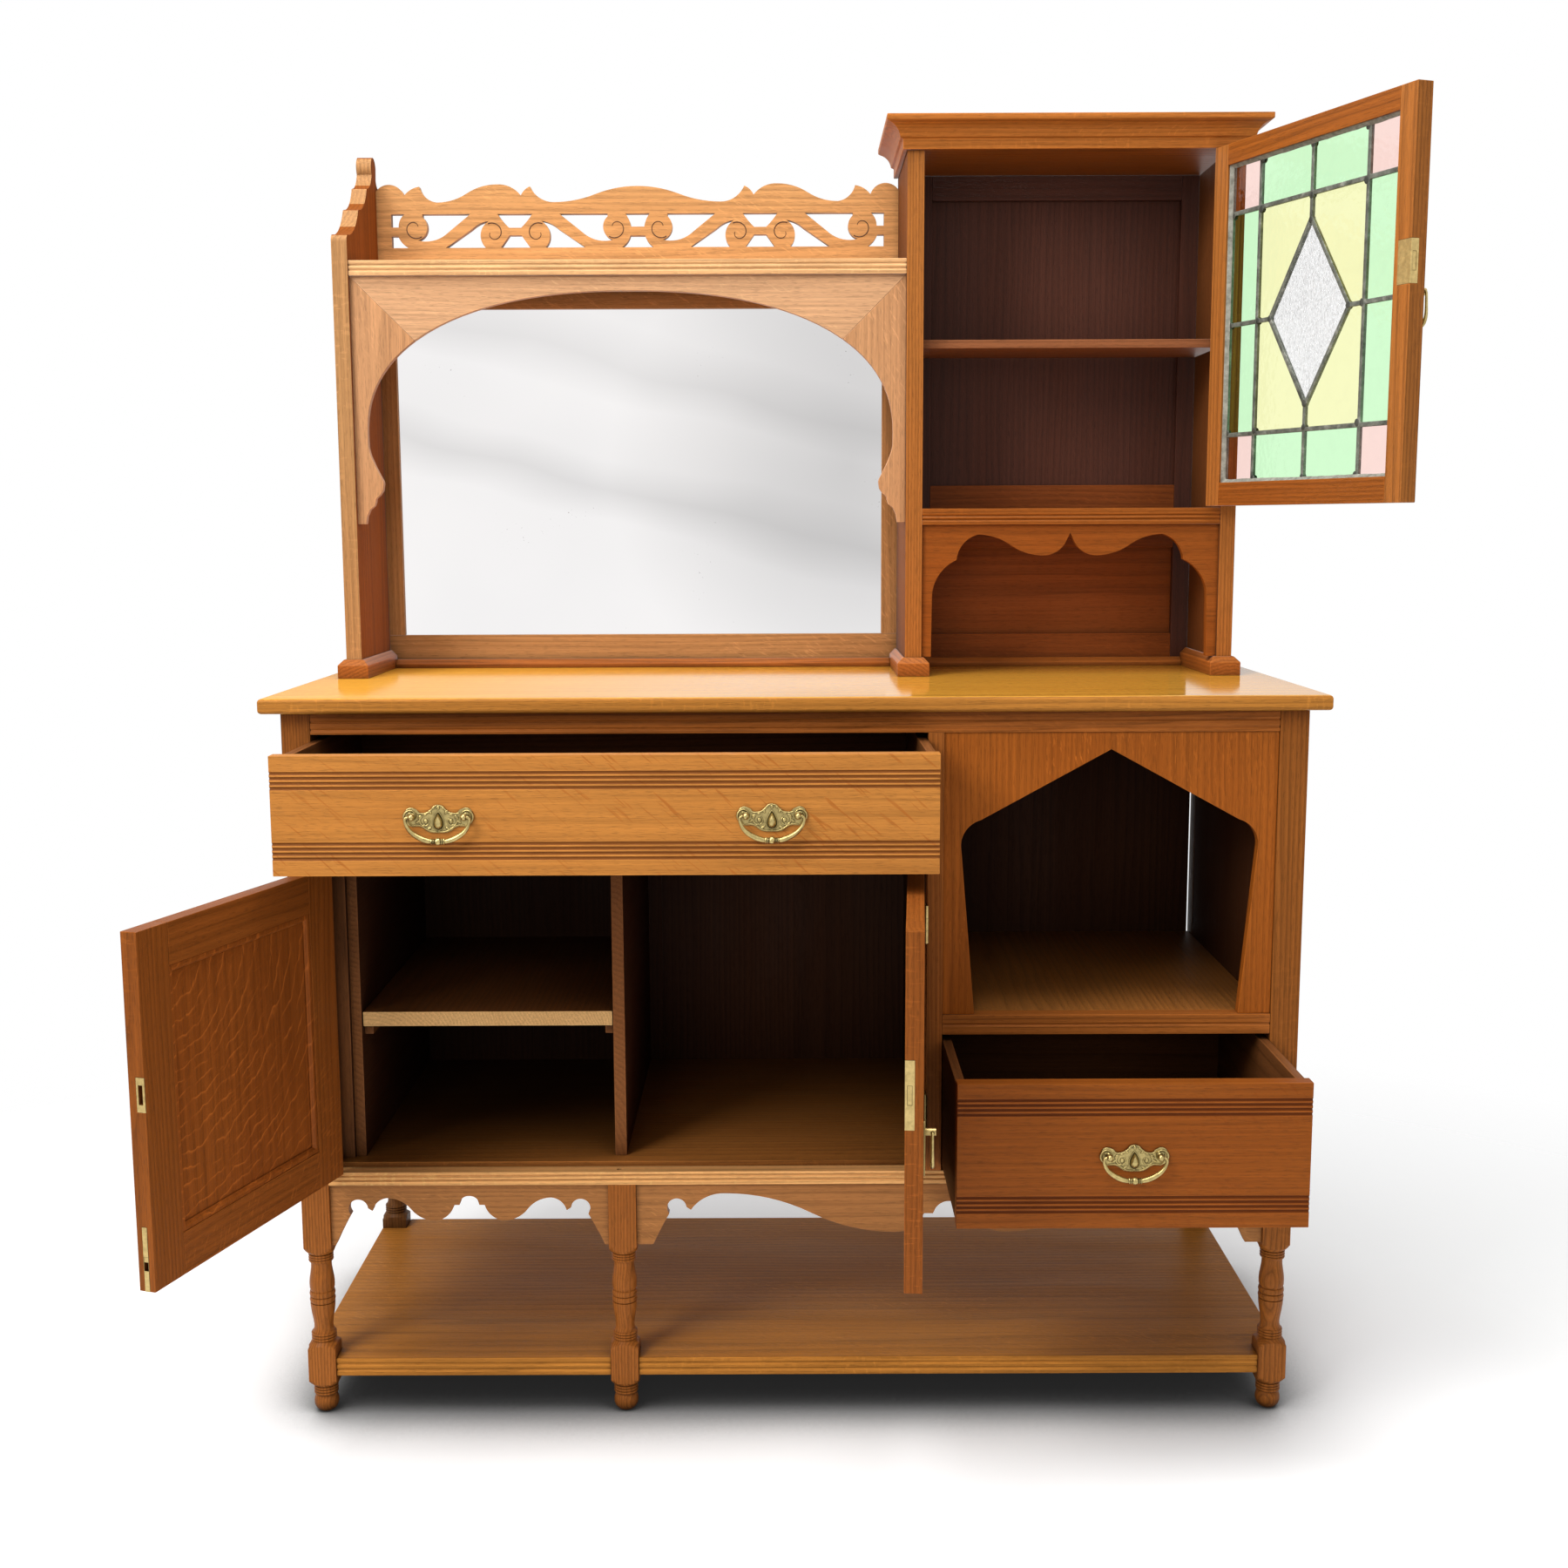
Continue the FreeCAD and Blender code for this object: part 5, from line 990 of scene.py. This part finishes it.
# Saw kerfs draw the spirals on the gallery fret, as thin dark lines on its face: painted shade of the cuts.
def fret_spirals():
    """The curls of the fret: each starts at the edge of its disc and winds in."""
    low, high = closed_box("gallery_fret")
    bm = bmesh.new()
    for across, up, radius, start, sweep, end in (
            (33, 74, 16.5, -0.9, -5.0, 5.5), (151, 66, 16, 2.1, -5.4, 5.0), (217, 66, 16, 1.05, 5.4, 5.0),
            (335, 74, 16.5, -2.25, 5.0, 5.5)):
        for side in (-1, 1):
            rod(bm, curl(side, across, up, radius, start, sweep, end, out=0.0, thick=0.9), 6)
    place_drawing(bm, (low.x + high.x) / 2, low.y, low.z)
    return bm


finish_piece(fret_spirals(), "gallery_fret_kerf_shade", [kerf_shade_look()], "gallery_fret", replace=False)


# Solder on the lead joints, and the putty that beds the leaded light in its frame.
def middle_and_half(node):
    """The middle of a CAD node and half its size, with the doors closed, in millimetres."""
    low, high = closed_box(node)
    return (low + high) / 2, (high - low) / 2


lead_middle, lead_half = middle_and_half("lead_cames")


def solder_joints():
    """A flat blob of solder on each crossing, on both faces of the leadwork."""
    border, tip, sunk = 4, 3, 0.4
    field, diamond = middle_and_half("yellow_glass")[1], middle_and_half("clear_glass")[1]
    edge, side = lead_half.x - border, field.x
    head, level = lead_half.z - border, field.z
    point_x, point_z = diamond.x + tip, diamond.z + tip
    places = [(x, z) for x in (-edge, -side, side, edge) for z in (-level, 0, level)]
    places += [(0, -level), (0, level)]
    places += [(x, z) for x in (-side, 0, side) for z in (-head, head)]
    places += [(0, point_z), (0, -point_z), (point_x, 0), (-point_x, 0)]
    bm = bmesh.new()
    for x, z in places:
        for out in (1, -1):
            blob = oval(x, z, random.uniform(4.0, 5.2), random.uniform(4.0, 5.4), random.uniform(0, 3), 16)
            dome = [(share, out * high) for share, high in rounded(0.9)]
            swelling(bm, blob, out * (lead_half.y - sunk), dome)
    return bm


def putty_bed():
    """The hand-laid putty fillet round the leaded light, on the inside of the door."""
    steps, width, unevenness = 24, 4.4, 0.7
    on_wood, on_lead, under = -7.5, -lead_half.y - 0.2, -lead_half.y + 1
    wide, tall = lead_half.x, lead_half.z
    corners = [(-wide, -tall), (wide, -tall), (wide, tall), (-wide, tall)]
    bm = bmesh.new()
    loop = []
    for (x0, z0), (x1, z1) in zip(corners, corners[1:] + corners[:1]):
        for i in range(steps):
            share = i / steps
            x, z = x0 + (x1 - x0) * share, z0 + (z1 - z0) * share
            lap = width + random.uniform(-unevenness, unevenness)
            inner_x = max(-wide + lap, min(wide - lap, x))
            inner_z = max(-tall + lap, min(tall - lap, z))
            loop.append([bm.verts.new(point) for point in
                         ((x, on_wood, z), (inner_x, on_lead, inner_z), (x, under, z))])
    for near, far in zip(loop, loop[1:] + loop[:1]):
        for i in range(3):
            j = (i + 1) % 3
            bm.faces.new((near[i], near[j], far[j], far[i]))
    return bm


for detail, name, material in ((solder_joints(), "lead_solder", lead_look("solder", 0.42)),
                               (putty_bed(), "lead_putty", putty_look())):
    place_drawing(detail, *lead_middle, opened(body_of["lead_cames"]))
    finish_piece(detail, name, [material], "lead_cames", replace=False)


# Camera at the photograph's place.
pitch, roll, yaw = -0.1424, 0.0038, -0.0001
camera = added("camera", bpy.data.cameras.new("camera"))
camera.data.lens = 41.847
camera.data.sensor_width = 36
camera.data.sensor_fit = "HORIZONTAL"
camera.location = (-0.0136, -2.3927, 1.2009)
camera.rotation_euler = (math.pi / 2 + pitch, roll, yaw)
bpy.context.scene.camera = camera


# Floor, world and lamps.
def floor_look():
    """A white floor with the lamps' shadow and painted shadow near the sideboard, fading into the white
    surround.
    """
    look = Look("floor")
    away = look.vector("LENGTH", look.vector("MULTIPLY", look.place(), (0.42, 0.52, 1)))
    fade = look.ramp(away, (0.35, 0.0), (0.95, 1.0))
    # Painted shadow: the floor's colour and glow fall off where the sideboard is within reach.
    painted_shadow_level = look.ramp(look.openness(0.26, 12), (0.30, 0.04), (0.62, 0.32), (0.97, 1.0))
    lit = look.put("BsdfDiffuse", {"Color": look.mix(1.0, painted_shadow_level, (0.90, 0.90, 0.90, 1), "MULTIPLY")})
    glow = look.put("Emission", {"Color": painted_shadow_level, "Strength": 0.36})
    both = look.put("AddShader", {0: lit, 1: glow})
    clear = look.put("BsdfTransparent", {"Color": (1, 1, 1, 1)})
    return look.surface(look.put("MixShader", {0: fade, 1: both, 2: clear}))


wide, deep = 3.2, 2.6
floor_mesh = bpy.data.meshes.new("floor")
floor_mesh.from_pydata([(-wide, -deep, 0), (wide, -deep, 0), (wide, deep, 0), (-wide, deep, 0)], [],
                       [(0, 1, 2, 3)])
floor_mesh.materials.append(floor_look())
floor = added("floor", floor_mesh)
floor.location.z = -0.0005


def surround():
    """A white world to the eye and through glass, a soft light on the object, and a room in reflections."""
    look = Look("surround", bpy.data.worlds.new("surround"))
    ray = look.put("LightPath").outputs
    seen = look.math("MAXIMUM", ray["Is Camera Ray"], ray["Is Transmission Ray"])
    # The room in front: slanting pale bands, and one dimmer spot, by direction across and up.
    way = look.put("SeparateXYZ", {0: look.put("TexCoord").outputs["Generated"]}).outputs
    ahead = look.math("MAXIMUM", look.times(way["Y"], -1.0), 0.05)
    across = look.math("DIVIDE", way["X"], ahead)
    rise = look.math("DIVIDE", way["Z"], ahead)
    spot = look.put("CombineXYZ", {0: across, 1: rise}).outputs[0]
    slant = look.plus(rise, look.times(across, 0.25))
    level = look.plus(look.times(slant, 4.0), look.times(look.noise(spot, (9, 14, 1), 1), 0.10))
    bands = look.ramp(look.plus(level, 0.46), (0.0, 1.0), (0.42, 0.97), (0.50, 0.80), (0.57, 0.94),
                      (0.68, 0.97), (0.75, 0.84), (0.84, 0.93), (0.95, 0.88))
    from_dim = look.vector("DISTANCE", spot, (0.035, 0.03, 0))
    dim = look.ramp(from_dim, (0.0, 0.70), (0.06, 0.82), (0.13, 1.0))
    room = look.mix(1.0, look.mix(1.0, bands, dim, "MULTIPLY"), (1.0, 0.975, 0.965, 1), "MULTIPLY")
    soft = look.put("Background", {"Color": (0.97, 0.98, 1.0, 1), "Strength": 0.34})
    reflected = look.put("Background", {"Color": room, "Strength": 1.0})
    white = look.put("Background", {"Color": (1, 1, 1, 1), "Strength": 1.0})
    lit_room = look.put("MixShader", {0: ray["Is Glossy Ray"], 1: soft, 2: reflected})
    look.put("OutputWorld", {"Surface": look.put("MixShader", {0: seen, 1: lit_room, 2: white})})
    return look.owner


def lamp(name, place, target, size, power, tint=(1, 1, 1)):
    """A large soft lamp."""
    light = bpy.data.lights.new(name, "AREA")
    light.shape = "RECTANGLE"
    light.size, light.size_y = size
    light.energy = power
    light.color = tint
    holder = added(name, light)
    holder.location = place
    holder.rotation_euler = (Vector(target) - Vector(place)).to_track_quat("-Z", "Y").to_euler()
    return holder


bpy.context.scene.world = surround()
lamp("key", (-2.4, -2.4, 3.1), (-0.1, 0, 0.95), (1.6, 1.6), 98, (1.0, 0.985, 0.96))
lamp("fill", (2.4, -3.0, 2.2), (0, 0, 0.8), (2.0, 2.0), 10, (0.97, 0.985, 1.0))
front = lamp("front", (-0.7, -3.4, 1.5), (-0.1, 0.2, 1.1), (1.6, 1.6), 20)
front.visible_glossy = False
lamp("top", (-0.3, -0.5, 3.6), (-0.1, 0.2, 0.9), (2.0, 1.4), 66)
bpy.context.scene.view_settings.view_transform = "Standard"
